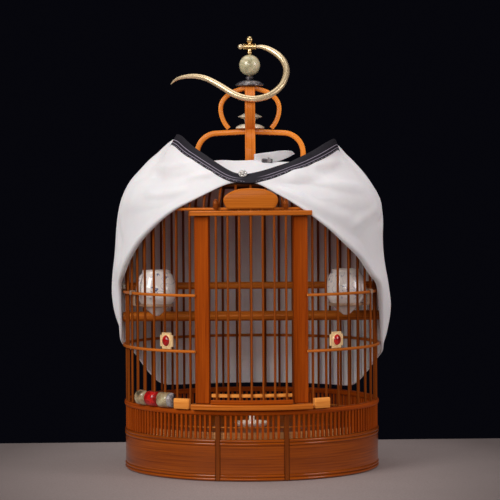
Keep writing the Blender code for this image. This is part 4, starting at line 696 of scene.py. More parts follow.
DOOR_HALF = 0.1015 / 2 / DOOR_R
ACROSS_DOOR = (-DOOR_HALF, DOOR_HALF, 40)
RAIL_TOP = POST_FOOT + 0.0056
INNER_OUT = DOOR_R - 0.0015 - CLEAR
shape = Shape().hoop(POST_FOOT, RAIL_TOP, DOOR_R - 0.0025, DOOR_R + 0.0025, 0.001, *ACROSS_DOOR)
shape.make("rail_round", [AMBER, END], "door_rail", body="door")
shape = Shape().hoop(RAIL_TOP + 0.0029, RAIL_TOP + 0.0074, INNER_OUT - 0.0026, INNER_OUT, 0.0008,
                     *ACROSS_DOOR)
shape.make("inner_rail_round", [PALE, END], "door_inner_rail", body="door", slot="bamboo_pale")
PLAQUE_Z = HOOP_TOP_Z + 0.0018
DOOR_TOP = PLAQUE_Z - CLEAR
KNOB_OUTLINE = mm((0, 0), (2.4, 0), (3, 1), (3.4, 3.2), (3.6, 5.8), (3.4, 8.4), (2.7, 10.6), (1.6, 12.2),
                  (0, 12.8))
for k, angle in enumerate(DOOR_ANGLES):
    place = ring_point(angle, DOOR_R, 0)
    shape = Shape().rod([place + UP * z for z in (RAIL_TOP + CLEAR, DOOR_TOP)], 0.0015, 12, 0, 1)
    if k in (0, 6):
        right, up, out = wall_frame(angle)
        knob = Shape(1).turned([(r, DOOR_TOP + z) for r, z in KNOB_OUTLINE], 24, look=1)
        shape.add(knob, lambda p: place + right * p.x - out * (p.y * 0.75) + up * p.z)
    shape.make("door_stick_" + str(k + 1), [STICK, KNOB], "door_bar_" + str(k + 1), body="door", smooth=50)

PLAQUE = mm((27.3, 0), (30.2, 2.2), (31.9, 5), (33.2, 8.5), (33.4, 11.5), (32.4, 14.6), (30.2, 17.2),
            (25.6, 20.2), (20, 22.6), (12, 24.5), (0, 25.2))


def plaque_outline(inset):
    """An oval board with a straight foot."""
    wide, high = 1 - inset / 0.0334, 1 - 2 * inset / 0.0252
    side = [(x * wide, inset + z * high) for x, z in smooth(PLAQUE, 3)]
    return side + [(-x, z) for x, z in reversed(side[:-1])]


shape = Shape().skin([[vec(x, -DOOR_R - 0.0027 + depth, PLAQUE_Z + z) for x, z in plaque_outline(inset)]
                      for inset, depth in mm((3, 0), (1.2, 0.3), (0.3, 1), (0, 2), (0, 4.6), (0.6, 5.4))])
plaque = shape.make("plaque_board", [FACE], "door_plaque", body="door", slot="bamboo_pale")
lay_grain(plaque, lambda spot: (spot.x, spot.z))


# Lower handle, lantern, beads and hook

ARCH_HALF = mm((68.7, 391.3), (68.7, 398.5)) + arc(0.026, 0, QUARTER, 12, x=0.0427, y=0.4057)
LANTERN_Z, LANTERN_OUT, ARCH_TOP, ARCH_FLAT = 0.4639, 0.0409, 0.437, 0.0427
STRIP_WIDE = 0.013


def lantern_half():
    """One side of the lantern strip, from where it meets the lower handle up to its flat top."""
    level = LANTERN_Z - ARCH_TOP
    fall = 0.002 / ARCH_FLAT * LANTERN_OUT * cos(asin(level / LANTERN_OUT))
    drop = asin((level - CLEAR + fall) / LANTERN_OUT)
    return smooth(arc(0.038, -drop, 0, 5, y=LANTERN_Z)[:-1]
                  + arc(0.038, 0, QUARTER, 7, 0.0256, y=LANTERN_Z)[:-2] + [(0.0088, 0.4895)], 3)


for base, half, thick, top in (("arch", ARCH_HALF, 0.0066, 0.4337),
                               ("lantern", lantern_half(), 0.0058, 0.4895)):
    points = [vec(-x, 0, z) for x, z in half] + [vec(0, 0, top)]
    points += [vec(x, 0, z) for x, z in reversed(half)]
    shape = Shape().strip(points, STRIP_WIDE, thick, ACROSS_Y)
    # The side strips take the brighter bamboo, which is painted light.
    shape.make(base + "_strip_side", [ARCH_PAINTED_LIGHT, END], base + "_side")
    for way, name in ((-1, "front"), (1, "back")):
        points = [vec(0, way * x, z) for x, z in half] + [vec(0, way * 0.0068, top)]
        shape = Shape().strip(points, STRIP_WIDE, thick, ACROSS_X)
        shape.make(base + "_strip_" + name, [ORANGE, END], base + "_" + name)

BOLT = mm((0, 427.1), (3.8, 427.1), (5.1, 428), (5.2, 429.6), (5, 430.1), (2.6, 430.1), (2.6, 458.1),
          (1.8, 458.5), (0, 458.5))
shape = Shape().turned(BOLT, 32)
shape.make("bolt_round", [BRASS], "arch_bolt", slot="brass")


def bead(name, look, slot, node, bore, profile, body="cage"):
    curve = [(max(r, bore), z) for r, z in smooth(profile, 4)]
    outline = [(bore, profile[0][1])] + curve + [(bore, profile[-1][1])]
    shape = Shape().turned(outline, 56, closed_outline=True)
    shape.make(name, [look], node, body=body, slot=slot, smooth=55)


LOW_BORE, HIGH_BORE, BALL_R = 0.0029, 0.0031, 0.0137
bead("disc_low_round", JADE_PALE, "jade", "lower_disc", LOW_BORE,
     mm((18, 437.3), (18.9, 438), (18.4, 439.5), (16.2, 441.2), (12.9, 442.8), (6.8, 443.8)))
bead("bead_low_round", JADE_PALE, "jade", "lower_bead", LOW_BORE,
     mm((6.6, 444.3), (7, 447), (8, 449.6), (12, 451.2), (15.2, 452.4), (15.7, 452.9), (15.2, 453.5),
        (12, 455), (7.8, 457)))
bead("disc_top_round", DARK, "dark_stone", "upper_disc", HIGH_BORE,
     mm((17.6, 492.8), (18.3, 493.6), (17.8, 495.2), (15.5, 497.2), (12.8, 498.8), (7.2, 500.2), (4, 500.7),
        (4.4, 501.2), (5.5, 502.4), (5.5, 503.6), (4.4, 505), (3.8, 505.6)))
bore_angle = QUARTER - asin(HIGH_BORE / BALL_R)
bead("ball_round", JADE, "jade", "jade_ball", HIGH_BORE, arc(BALL_R, -bore_angle, bore_angle, 14, y=0.5197),
     "hook_swivel")

PIVOT = 0.5438
BARREL_HALF, BARREL_STEPS = 0.008, 32
STEM = mm((0, 482.1), (5, 482.1), (5.6, 482.8), (5.6, 485.6), (5, 486.3), (2.8, 486.3), (2.8, 534.2),
          (3.4, 535), (3.4, 536.2), (2.7, 537), (2.7, 540.6), (0, 540.6))
shape = Shape().turned(STEM, 28)
shape.turned(mm((0, 547.2), (2.2, 547.2), (2, 548.2)) + arc(0.0046, -1.1, 1.57, 12, y=0.5527), 28)
ribs = [(0.004 + 0.0003 * cos(pi * k / 2) - (0.0004 if k in (0, BARREL_STEPS) else 0),
         BARREL_HALF * (2 * k / BARREL_STEPS - 1)) for k in range(BARREL_STEPS + 1)]
barrel = Shape().turned([(0.0022, -BARREL_HALF)] + ribs + [(0.0022, BARREL_HALF)], 36, closed_outline=True)
shape.add(barrel, lambda p: vec(p.z, p.y, PIVOT - p.x))
shape.make("stem_round", [BRASS], "hook_stem", body="hook_swivel", slot="brass", smooth=45)

# The hook's middle line as shares of its length across and down, and its thickness along that
HOOK_LONG, HOOK_THICK, EYE_R = 0.0824, 0.004, 0.0034
HOOK_PATH = (
    (-0.125, 0), (0.105, 0), (0.2, 0.006), (0.325, 0.062), (0.45, 0.165), (0.535, 0.29), (0.575, 0.44),
    (0.558, 0.59), (0.5, 0.74), (0.395, 0.865), (0.265, 0.955), (0.12, 0.998), (-0.01, 0.998), (-0.15, 0.96),
    (-0.285, 0.885), (-0.41, 0.79), (-0.54, 0.695), (-0.68, 0.61), (-0.82, 0.568), (-0.96, 0.565),
    (-1.085, 0.592), (-1.175, 0.645), (-1.23, 0.715))
HOOK_TAPER = (0.475, 0.475, 0.7, 0.9, *[1] * 11, 0.98, 0.94, 0.88, 0.8, 0.68, 0.54, 0.36, 0.12)
tilt = asin((LANTERN_OUT * 0.965 + 0.0043) / HOOK_LONG)
down = vec(0, -sin(tilt), -cos(tilt))
points = spline([vec(HOOK_LONG * x, 0, PIVOT) + down * (HOOK_LONG * v) for x, v in HOOK_PATH], 6)
radii = [r for r, _ in smooth([(HOOK_THICK * t, 0) for t in HOOK_TAPER], 6)]
shape = Shape().rod(points, radii, 22, normal=ACROSS_X.cross(down).normalized())
eye = vec(-BARREL_HALF - CLEAR - EYE_R, 0, PIVOT)
shape.add(Shape().turned(arc(EYE_R, -QUARTER, QUARTER, 12), 26), lambda p: p + eye)
shape.make("hook_round", [ENGRAVED], "hook", body="hook", slot="brass", smooth=70)


# Perch, rod, cups and stones

PERCH_Z, ROD_Z, ROD_Y = 0.194, 0.234, -R * sin(PITCH / 2)
reach = WALL_OUT + 0.003
shape = Shape().rod([vec(x, 0, PERCH_Z) for x in (-reach, -reach + 0.0006, reach - 0.0006, reach)],
                    (0.0058, 0.0064, 0.0064, 0.0058), 40, 0, 1)
perch = shape.make("perch_round", [POLE, END], "perch")
shape = Shape().rod([vec(x, ROD_Y, ROD_Z) for x in (-0.157, 0.157)], 0.0046, 36, 0, 1)
shape.make("rod_round", [POLE, END], "upper_rod")
CAP = mm((157.4, 4.1), (157.7, 4.5), (165.2, 4.5), (166.3, 4.2), (167, 3.4), (167.2, 2.2))
for side, name in SIDES:
    notch = Shape().block(vec(side * 0.164, 0, PERCH_Z), (ACROSS_Y, UP, ACROSS_X), 0.0038, 0.02, 0.0074,
                          0.0001)
    cut_with(perch, notch.make("notch", [END]))
    shape = Shape().rod([vec(side * x, ROD_Y, ROD_Z) for x, _ in CAP], [r for _, r in CAP], 28)
    shape.make("cap_" + name, [BONE], "rod_cap_" + name, slot="bone", smooth=50)

# The cup's outside as shares of its height and of its greatest radius
CUP = ((0, 0.1), (0.02, 0.18), (0.084, 0.34), (0.17, 0.56), (0.27, 0.77), (0.4, 0.94), (0.54, 1),
       (0.7, 0.955), (0.86, 0.83), (0.95, 0.69), (1, 0.71))
CUP_R, CUP_HIGH, CUP_FOOT, CUP_OUT = 0.0262, 0.0586, 0.1975, 0.1325
CUP_WALL = 0.0026
CUP_ANGLE = QUARTER - 3.5 * PITCH
outline = [(0, CUP_FOOT)] + smooth([(CUP_R * r, CUP_FOOT + CUP_HIGH * h) for h, r in CUP], 5)
outline += [(0.0174, 0.2566), (0.0163, 0.2562)]
outline += [(max(0, CUP_R * read(CUP, h) - CUP_WALL), CUP_FOOT + CUP_HIGH * h)
            for h in (0.95, 0.86, 0.7, 0.52, 0.36, 0.2, 0.1)]
outline.append((0, CUP_FOOT + 0.0042))
WIRE, RING_Z = 0.0018, 0.2113
bore = CUP_R * read(CUP, 0.0156 / CUP_HIGH) + CLEAR + WIRE / 2
inside, outside = HOOP_IN - CLEAR - 0.0008, HOOP_OUT + CLEAR + 0.0008
over = HOOP_HIGH_Z + HOOP_HEIGHT + CLEAR + 0.0008
BENDS = ((CUP_OUT + bore, RING_Z), (inside - 0.0015, RING_Z), (inside - 0.0004, RING_Z + 0.0004),
         (inside, RING_Z + 0.0015), (inside, over - 0.0012), (inside + 0.0005, over),
         (outside - 0.0005, over), (outside, over - 0.0008), (outside, HOOP_HIGH_Z))
for side, name in SIDES:
    place = ring_point(side * CUP_ANGLE, CUP_OUT, 0)
    shape = Shape().turned(outline, 72, (place.x, place.y))
    cup = shape.make("cup_round_" + name, [CUP_WHITE], "cup_" + name, body=name + "_cup", slot="porcelain",
                     smooth=60)
    lay_grain(cup, lambda spot: (CUP_R * atan2(spot.x - place.x, -(spot.y - place.y)) + 0.4,
                                 spot.z - CUP_FOOT))
    section = [(bore + x, RING_Z + y) for x, y in rounded(WIRE, 2 * WIRE, 0.0007)]
    shape = Shape().turned(section, 64, (place.x, place.y), closed_outline=True)
    shape.strip([ring_point(side * CUP_ANGLE, r, z) for r, z in BENDS], 0.006, 0.0016,
                wall_frame(side * CUP_ANGLE)[0], 0.0004, 0)
    shape.make("cup_holder_" + name, [BRASS_DARK], "cup_hook_" + name, slot="brass")

STONE_TURN = radians(39.6)
RIM_STEPS, STUDS = 48, 16
notched = []
for sx, sz in ((-1, -1), (1, -1), (1, 1), (-1, 1)):
    corner = [(sx * x, sz * z) for x, z in mm((7.5, 10.2), (7.5, 7.2), (10.5, 7.2))]
    notched = (corner[::-1] if sx * sz < 0 else corner) + notched
for side, name in SIDES:
    axes = right, up, out = wall_frame(side * STONE_TURN)
    centre = ring_point(side * STONE_TURN, WALL_OUT + CLEAR, 0.1706)
    shape = Shape().skin([[centre + right * (x * size) + up * (z * size) + out * depth for x, z in notched]
                          for depth, size in ((0, 1), (0.0014, 1), (0.0019, 0.965), (0.0019, 0.9),
                                              (0.0015, 0.87), (0.0015, 0.8))])
    rim = []
    for x, z in arc(1, 0, TURN, RIM_STEPS)[:-1]:
        middle = centre + right * (0.006 * x) + up * (0.0073 * z) + out * 0.0015
        away = (right * x / 0.006 + up * z / 0.0073).normalized()
        rim.append([middle + away * a + out * b for a, b in arc(0.0009, 0, TURN, 10, 0.0012)[:-1]])
    shape.skin(rim, closed=True)
    for k in range(STUDS):
        turn = TURN * (k + 0.5) / STUDS
        spot = centre + right * (0.0081 * cos(turn)) + up * (0.0082 * sin(turn)) + out * 0.0014
        shape.dome(spot, axes, 0.0008, 0.0008, 0.0008, 3, 10)
    shape.make("plate_" + name, [GILT], "stone_plate_" + name, slot="gilt", smooth=45)
    shape = Shape().dome(centre + out * 0.0018, axes, 0.0059, 0.0068, 0.0036, 9, 48)
    shape.make("cabochon_" + name, [RED], "red_stone_" + name, slot="red_stone", smooth=60)

back = WALL_OUT + CLEAR
BEAD_R, BEAD_GAP, BEAD_STEPS = 0.0095, 0.0012, 16
ROW = (("jade_bead_outer", BEAD_JADE, "jade", 0.02), ("red_bead", RED, "red_stone", 0.021),
       ("jade_bead_inner", BEAD_JADE, "jade", 0.0262))
start_angle = BLOCK_TURN + (0.0113 + BEAD_GAP + sum(length + BEAD_GAP for _, _, _, length in ROW)) / back
for name, look, slot, length in ROW:
    turn = length / 2 / back - start_angle
    right, up, out = wall_frame(turn)
    base = ring_point(turn, back, SILL_Z + BEAD_R)
    stations = []
    for k in range(BEAD_STEPS + 1):
        share = k / BEAD_STEPS
        swell = max(0.3, (1 - abs(2 * share - 1) ** 5) ** 0.45)
        if name == "jade_bead_inner" and k == 12:
            swell = 0.86
        section = arc(BEAD_R * swell, -QUARTER, QUARTER, 20, BEAD_R * (0.8 + 0.2 * swell))
        stations.append([base + right * (length * (share - 0.5)) + out * x + up * z for x, z in section])
    shape = Shape().skin(stations)
    if name == "jade_bead_inner":
        shape.looks = [int(f // 21 >= 12 and f != 336) for f in range(len(shape.looks))]
    shape.make(name + "_round", [look, DARK], name, slot=slot, smooth=50)
    start_angle -= (length + BEAD_GAP) / back


# The cover: one sheet over the roof, down outside the bars, turned out at a soft roll into two lapels
# Tables are in millimetres, for the left side and the right; a share is that of half a turn from the front

# Radius by height: the lapel's outside at the sides and at the front, and the cloth inside it
SIDE_OUT = (
    ((147.4, 166.5), (169.4, 167.7), (181.2, 172.4), (194.2, 177.1), (208.6, 180.2), (228.2, 181.7),
     (241.2, 181), (273.8, 176.2), (293.3, 174.8), (323.2, 172.6), (338.8, 169.8), (353.1, 164.6),
     (367.3, 157.9), (377, 151.3), (384.2, 142.2), (398.4, 130.4), (410, 119.9), (419, 109.3),
     (428.5, 101.4)),
    ((147.7, 168.6), (164.6, 174.7), (189.4, 179.5), (206.3, 181.5), (219.4, 180.3), (239, 176.7),
     (269, 171.3), (291.1, 170.4), (301.5, 171), (314.6, 172.2), (328.9, 171.1), (344.5, 167.2),
     (357.6, 162), (369.3, 155.7), (381, 146.6), (390.1, 138.8), (399.4, 129.8), (403.2, 124),
     (411.1, 118.2), (421.5, 110.1)))
FRONT_OUT = ((327.2, 170.5), (339.2, 166.8), (347.2, 164), (355.2, 161), (363.2, 157), (371.2, 154),
             (379.2, 151.6), (389.2, 148.5), (397.2, 145), (410.2, 139), (428.2, 129))
INNER_SIDE = ((150, 168.4), (224, 168.6), (230, 170.4), (240, 170.4), (248, 168.6), (338, 168.4),
              (345.7, 166.4), (353, 163), (363, 156.8), (371, 147))
INNER_FRONT = ((150, 168.4), (337, 168.2), (340, 166.2), (343, 164.2), (350, 161.2), (356, 158.4),
               (363, 154.2), (368, 151.8), (371, 147))
# By share: the roll's height, then the edge's height and how far out it reaches
ROLL = (
    ((0, 366.6), (0.028, 366.8), (0.056, 365.6), (0.077, 361.2), (0.1, 355.2), (0.123, 349.1),
     (0.145, 343), (0.17, 337), (0.198, 329.1), (0.228, 318.6), (0.261, 306.2), (0.287, 297.3),
     (0.309, 288.5), (0.337, 276.8), (0.374, 261.5), (0.397, 251), (0.42, 242.6), (0.447, 238),
     (0.462, 216), (0.477, 190), (0.5, 166.3), (0.54, 156.4), (0.6, 149.4), (0.635, 142),
     (0.665, 127.5), (0.695, 114.2), (0.722, 102.2), (0.744, 94.5), (0.8, 93), (0.9, 92.5)),
    ((0, 366.6), (0.014, 366.2), (0.036, 361), (0.058, 353.4), (0.081, 347.2), (0.103, 339.8),
     (0.127, 331.8), (0.152, 322.5), (0.179, 312.5), (0.208, 302.5), (0.228, 292.5), (0.254, 283.5),
     (0.284, 273.2), (0.304, 265.4), (0.32, 256.5), (0.338, 249.8), (0.352, 243.5), (0.372, 240),
     (0.392, 237), (0.408, 219), (0.43, 197.1), (0.46, 170.3), (0.49, 149.4), (0.54, 141.5),
     (0.59, 131.5), (0.618, 121.9), (0.656, 108.4), (0.684, 97.9), (0.704, 92.2), (0.76, 92.5)))
EDGE_BACK = ((0.55, 368.9), (0.62, 317.2), (0.69, 237.7), (0.75, 170), (0.81, 125), (0.85, 112), (1, 107))
EDGE = (
    ((0, 369.6), (0.048, 371.5), (0.067, 376.5), (0.096, 384.4), (0.126, 392.7), (0.162, 401.3),
     (0.208, 409.9), (0.258, 417.6), (0.303, 421.6), (0.344, 422.1), (0.4, 416.6), (0.47, 398.7), *EDGE_BACK),
    ((0, 370.5), (0.038, 374), (0.064, 378.3), (0.092, 382.5), (0.123, 386.9), (0.158, 392.4),
     (0.202, 398.5), (0.265, 407.6), (0.311, 412.2), (0.352, 415.2), (0.38, 414.4), (0.418, 408.6),
     (0.47, 396.7), *EDGE_BACK))
REACH_BACK = ((0.48, 134), (0.52, 148), (0.56, 163), (0.6, 171.5), (0.69, 173), (1, 172.5))
REACH = (
    ((0, 152.9), (0.042, 151.9), (0.069, 150.4), (0.098, 148.2), (0.129, 145.1), (0.165, 141.1),
     (0.212, 131.6), (0.263, 120.5), (0.31, 114.8), (0.351, 111.2), (0.39, 111.6), (0.44, 120), *REACH_BACK),
    ((0, 152.9), (0.036, 152.1), (0.063, 150.9), (0.091, 148.7), (0.122, 145.9), (0.157, 142),
     (0.202, 135.7), (0.265, 130), (0.31, 125.6), (0.351, 121.6), (0.39, 120), (0.44, 124), *REACH_BACK))
# Where the bound edge tucks under at each lapel's tip, and half its width
TIPS = (0.326, 0.372)
BAND_HALF = (
    ((0, 7.2), (0.042, 7.6), (0.098, 8.3), (0.165, 8.7), (0.212, 9.3), (0.263, 9), (0.35, 7.6), (0.45, 7.2),
     (0.6, 7)),
    ((0, 7.4), (0.036, 7.4), (0.091, 7.2), (0.122, 7.7), (0.157, 8.1), (0.202, 8.5), (0.265, 8.8),
     (0.351, 7.8), (0.45, 7.2), (0.6, 7)))
# Soft folds and creases: side, width, height, then points of share and height
FOLDS = (
    (0, 5, 2.8, ((0.479, 387.5), (0.319, 385), (0.252, 385), (0.197, 389), (0.145, 393))),
    (0, 5, -2.2, ((0.336, 374.5), (0.261, 372), (0.192, 373.5), (0.121, 378))),
    (0, 4, 2.2, ((0.173, 372), (0.128, 375), (0.09, 377))),
    (0, 5.5, 2.6, ((0.31, 353), (0.238, 351.5), (0.19, 353.5), (0.148, 359))),
    (0, 5, -2, ((0.286, 341.5), (0.225, 340), (0.174, 343.5))),
    (0, 6, -2, ((0.479, 326.5), (0.395, 294.5), (0.403, 263))),
    (1, 8, 3.2, ((0.085, 378), (0.131, 375), (0.185, 368), (0.263, 361), (0.386, 356.5))),
    (1, 5.5, -5, ((0.034, 369.5), (0.081, 363.5), (0.124, 359.5), (0.176, 353), (0.248, 346),
                  (0.358, 343.5))),
    (1, 8, 3.4, ((0.053, 359), (0.095, 348.5), (0.142, 336.5), (0.208, 325), (0.292, 316))),
    (1, 6, 2.2, ((0.162, 385.5), (0.254, 389.5), (0.401, 395))),
    (1, 3.8, -3.4, ((0.479, 324), (0.351, 309.5), (0.279, 291))),
    (1, 6, 2.4, ((0.412, 336), (0.306, 321), (0.238, 304))))
# Radius and height from the opening at the neck out to the shoulder
NECK = ((74.6, 391.6), (74.2, 392.6), (74.8, 393.8), (76.4, 394.6), (78.4, 394.5), (80.4, 393.6),
        (81.8, 392.6), (84.6, 391.4), (92, 389.2), (113, 382.4), (135, 374.2))
COLUMNS, PASSES = ((320, 12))
NECK_ROWS, WALL_ROWS, TURN_ROWS, LAPEL_ROWS = 24, 22, 9, 44
WALL_TOP = 371
GIRTH = 168 * pi
CLOTH = 0.0009


def ring_mm(angle, radius, z):
    return ring_point(angle, radius / 1000, z / 1000)


def running(points):
    """The length from the first point to each."""
    total = [0]
    for a, b in zip(points, points[1:]):
        total.append(total[-1] + dist(a, b))
    return total


def resample(points, count):
    lengths = running(points)
    made = []
    k = 0
    for i in range(count):
        at = lengths[-1] * i / (count - 1)
        while k < len(points) - 2 and lengths[k + 1] < at:
            k += 1
        part = (at - lengths[k]) / max(lengths[k + 1] - lengths[k], 1e-9)
        made.append(tuple(a + (b - a) * part for a, b in zip(points[k], points[k + 1])))
    return made


def inner_radius(share, z):
    blend = ease(0.07, 0.2, share)
    return read(INNER_FRONT, z) * (1 - blend) + read(INNER_SIDE, z) * blend


def cover_column(side, share):
    """Down one line of the cover, as (radius, height) in millimetres."""
    roll, edge, reach = read(ROLL[side], share), read(EDGE[side], share), read(REACH[side], share)
    curl = 0.9 + 3 * ease(0.08, 0.3, share) - 2.5 * ease(0.39, 0.48, share)
    low = roll + curl
    top = min(WALL_TOP, roll + 8) if roll > 363 else WALL_TOP
    wall = [(inner_radius(share, z), z) for z in (top + (low - top) * k / 60 for k in range(61))]
    inside = wall[-1][0]
    outside = inside + 2 * curl
    turn = [(inside + curl - curl * cos(a), low - curl * sin(a))
            for a in (pi * k / (TURN_ROWS + 1) for k in range(1, TURN_ROWS + 1))]
    blend = ease(0.05, 0.26, share)
    back_blend = ease(0.6, 0.72, share)

    def body(z):
        front = read(FRONT_OUT, z) if z > 330 else 170.5
        radius = front * (1 - blend) + read(SIDE_OUT[side], z) * blend
        radius = radius * (1 - back_blend) + min(radius, 173.5) * back_blend
        if share <= 0.06:
            return min(radius, outside)
        rising = outside + 0.34 * (z - low) * ease(0.02, 0.2, share)
        return max(min(radius, max(rising, outside)), outside - 0.3 * (z - low))

    lapel = []
    gap = reach - body(edge)
    for k in range(81):
        part = k / 80
        z = low + (edge - low) * part
        radius = body(z) + gap * part * part
        if z < WALL_TOP:
            radius = max(radius, inner_radius(share, z) + 1.4)
        lapel.append((radius, z))
    neck = [*NECK, wall[0] if top < WALL_TOP else (147, 371.2)]
    return resample(neck, NECK_ROWS)[:-1] + resample(wall, WALL_ROWS) + turn + resample(lapel, LAPEL_ROWS)


def polyline_distance(x, y, points):
    """How far a spot is from a line, and the share of the line at which it is nearest."""
    best, share = 1e9, 0
    for k, ((ax, ay), (bx, by)) in enumerate(zip(points, points[1:])):
        dx, dy = bx - ax, by - ay
        part = min(1, max(0, ((x - ax) * dx + (y - ay) * dy) / (dx * dx + dy * dy)))
        gap = hypot(x - ax - dx * part, y - ay - dy * part)
        if gap < best:
            best, share = gap, (k + part) / (len(points) - 1)
    return best, share


def gather(angle, r):
    """The small waves of the gathered neck."""
    wave = sin(7 * angle + 1.2 * sin(3 * angle)) + 0.5 * sin(13 * angle + 1)
    return (1 - ease(76, 122, r)) * 0.7 * wave * ease(73, 84, r)


def folds(side, share, part, z):
    """The lapel's folds, creases and unevenness at a part of the way from the roll to the edge."""
    shift = 0
    soft = ease(0, 0.3, part) * (1 - 0.6 * ease(0.85, 1, part)) * ease(0.03, 0.12, share)
    x = GIRTH * share
    for width, height, points in creases[side]:
        gap, along = polyline_distance(x, z, points)
        if gap < width * 2.6:
            shift += height * exp(-(gap / width) ** 2) * ease(0, 0.18, along) * ease(1, 0.75, along) * soft
    place = vec(x * 0.018, z * 0.011, 3 + side * 7)
    shift += soft * 1.6 * field.noise(place) + soft * 0.6 * field.noise(place * 3.1)
    if share > 0.5:
        shift += soft * 1.5 * sin(share * 46 + 0.02 * z) * ease(0.5, 0.6, share)
    return shift


sides = []
for k in range(COLUMNS):
    angle = TURN * k / COLUMNS
    sides.append((1 if angle <= pi else 0, min(angle, TURN - angle) / pi))
columns = [[list(p) for p in cover_column(side, share)] for side, share in sides]
rows = len(columns[0])
for _ in range(PASSES):
    for axis in (0, 1):
        for j in range(rows):
            line = [columns[k][j][axis] for k in range(COLUMNS)]
            for k in range(COLUMNS):
                columns[k][j][axis] = 0.25 * line[k - 1] + 0.5 * line[k] + 0.25 * line[(k + 1) % COLUMNS]
LAPEL_START = rows - LAPEL_ROWS
GATHER_END = NECK_ROWS - 1
creases = [[(width, height, [(GIRTH * s, z) for s, z in points]) for where, width, height, points in FOLDS
            if where == side] for side in (0, 1)]
for k, (column, (side, share)) in enumerate(zip(columns, sides)):
    before = [tuple(p) for p in column]
    for j, (r, z) in enumerate(before):
        a, b = before[max(j - 1, 0)], before[min(j + 1, rows - 1)]
        length = dist(a, b) or 1
        if j < LAPEL_START:
            length = -length
        shift = 0
        if j < GATHER_END:
            shift = gather(TURN * k / COLUMNS, r)
        elif j >= LAPEL_START:
            shift = folds(side, share, (j - LAPEL_START) / (LAPEL_ROWS - 1), z)
        r, z = r + (b[1] - a[1]) / length * shift, z - (b[0] - a[0]) / length * shift
        if j >= LAPEL_START:
            if z < WALL_TOP:
                r = max(r, inner_radius(share, z) + 1.3)
            if share < 0.1:
                r = min(r, 166.2)
        column[j][:] = r, z
# The gathered neck lies lower at the right of the front strip, where its end stands up as a pointed flap
for k, column in enumerate(columns):
    angle = TURN * k / COLUMNS
    flat = 0.85 * ease(0.16, 0.3, angle) * ease(1.5, 1.2, angle)
    for pair in column[:GATHER_END]:
        pair[1] -= flat * ease(90, 84, pair[0]) * max(0, pair[1] - 391.9)


def thicken(piece):
    solid = piece.modifiers.new("thickness", "SOLIDIFY")
    solid.thickness, solid.offset = CLOTH, 0


# The flap's top and foot by angle; in millimetres above the underside
FLAP_TOP = ((0.06, 402), (0.18, 403.6), (0.32, 404.9), (0.46, 406.4), (0.58, 407), (0.7, 406.2),
            (0.76, 403.4))
FLAP_LOW = ((0.06, 391.4), (0.28, 391.2), (0.4, 392.4), (0.52, 394.8), (0.64, 398.4), (0.73, 401.6),
            (0.76, 402.8))
FLAP_WIDE, FLAP_HIGH = 36, 12
flap = Shape()
for i in range(FLAP_WIDE + 1):
    angle = 0.06 + 0.7 * i / FLAP_WIDE
    high, low = read(FLAP_TOP, angle), read(FLAP_LOW, angle)
    for j in range(FLAP_HIGH + 1):
        part = j / FLAP_HIGH
        z = low + (high - low) * part
        wave = 0.9 * sin(9 * angle + 0.25 * z) + 0.5 * sin(21 * angle)
        flap.points.append(ring_mm(angle, 79.6 + 0.12 * (z - 391) + wave * part, z))
count = FLAP_HIGH + 1
for i in range(FLAP_WIDE):
    for j in range(FLAP_HIGH):
        k = i * count + j
        ids = (k, k + 1, k + count + 1, k + count)
        flap.face(ids, [(0.0015 * (n // count), 0.001 * (n % count)) for n in ids])
flap_piece = flap.make("neck_flap", [FLAP_COTTON_SHADED], slot="cloth", smooth=180)
thicken(flap_piece)

cover = Shape()
cover.points = [ring_mm(TURN * k / COLUMNS, r, z) for k in range(COLUMNS) for r, z in columns[k]]
down_lengths = [[length / 1000 for length in running(column)] for column in columns]
for k in range(COLUMNS):
    n = (k + 1) % COLUMNS
    u0, u1 = (TURN * 0.172 * u / COLUMNS for u in (k, k + 1))
    for j in range(rows - 1):
        cover.face((k * rows + j, k * rows + j + 1, n * rows + j + 1, n * rows + j),
                   ((u0, down_lengths[k][j]), (u0, down_lengths[k][j + 1]),
                    (u1, down_lengths[n][j + 1]), (u1, down_lengths[n][j])))
cover_piece = cover.make("cover_sheet", [COTTON], "cover_cloth", slot="cloth", smooth=180)
thicken(cover_piece)


# The bound edge with its stitches, the clasp, the toggle

def edge_frame(at):
    """Half the band's width, the cloth's edge and its direction towards it, between columns too."""
    low = floor(at)
    part = at - low
    side, share = sides[low % COLUMNS]
    (ra, za), (rb, zb) = ([a * (1 - part) + b * part for a, b in
                           zip(columns[low % COLUMNS][j], columns[(low + 1) % COLUMNS][j])] for j in (-4, -1))
    length = hypot(rb - ra, zb - za)
    return side, share, read(BAND_HALF[side], share), rb, zb, (rb - ra) / length, (zb - za) / length


def on_band(at, r, z, tr, tz, rise, lift):
    """A point that lies up along the edge's cloth and out from it."""
    return ring_mm(TURN * at / COLUMNS, r + tr * rise + tz * lift, z + tz * rise - tr * lift)


REACHED = int(COLUMNS * 0.3)
BAND_COLUMNS = range(-REACHED, REACHED + 1)
band = Shape()
coords = []
along = 0
last_point = None
section = rounded(2, 2.2, 0.9, 4)
count = len(section)
for k in BAND_COLUMNS:
    side, share, half, rb, zb, tr, tz = edge_frame(k)
    point = ring_mm(TURN * k / COLUMNS, rb, zb)
    along += (point - last_point).length if last_point else 0
    last_point = point
    hidden = ease(TIPS[side] - 0.004, TIPS[side] + 0.004, share) * ease(0.52, 0.47, share)
    rb, zb = rb - tr * half * hidden, zb - tz * half * hidden
    coord = []
    for x, y in section:
        rise = half * x if abs(x) < 0.2 else copysign(half - (1 - abs(x)) * 1.1, x)
        band.points.append(on_band(k, rb, zb, tr, tz, rise, min(y, 1.1 - 1.7 * hidden)))
        coord.append((along, (rise / half + 1) / 2))
    coords.append(coord)
middle = coords[REACHED][0][0]
coords = [[(u - middle, v) for u, v in coord] for coord in coords]
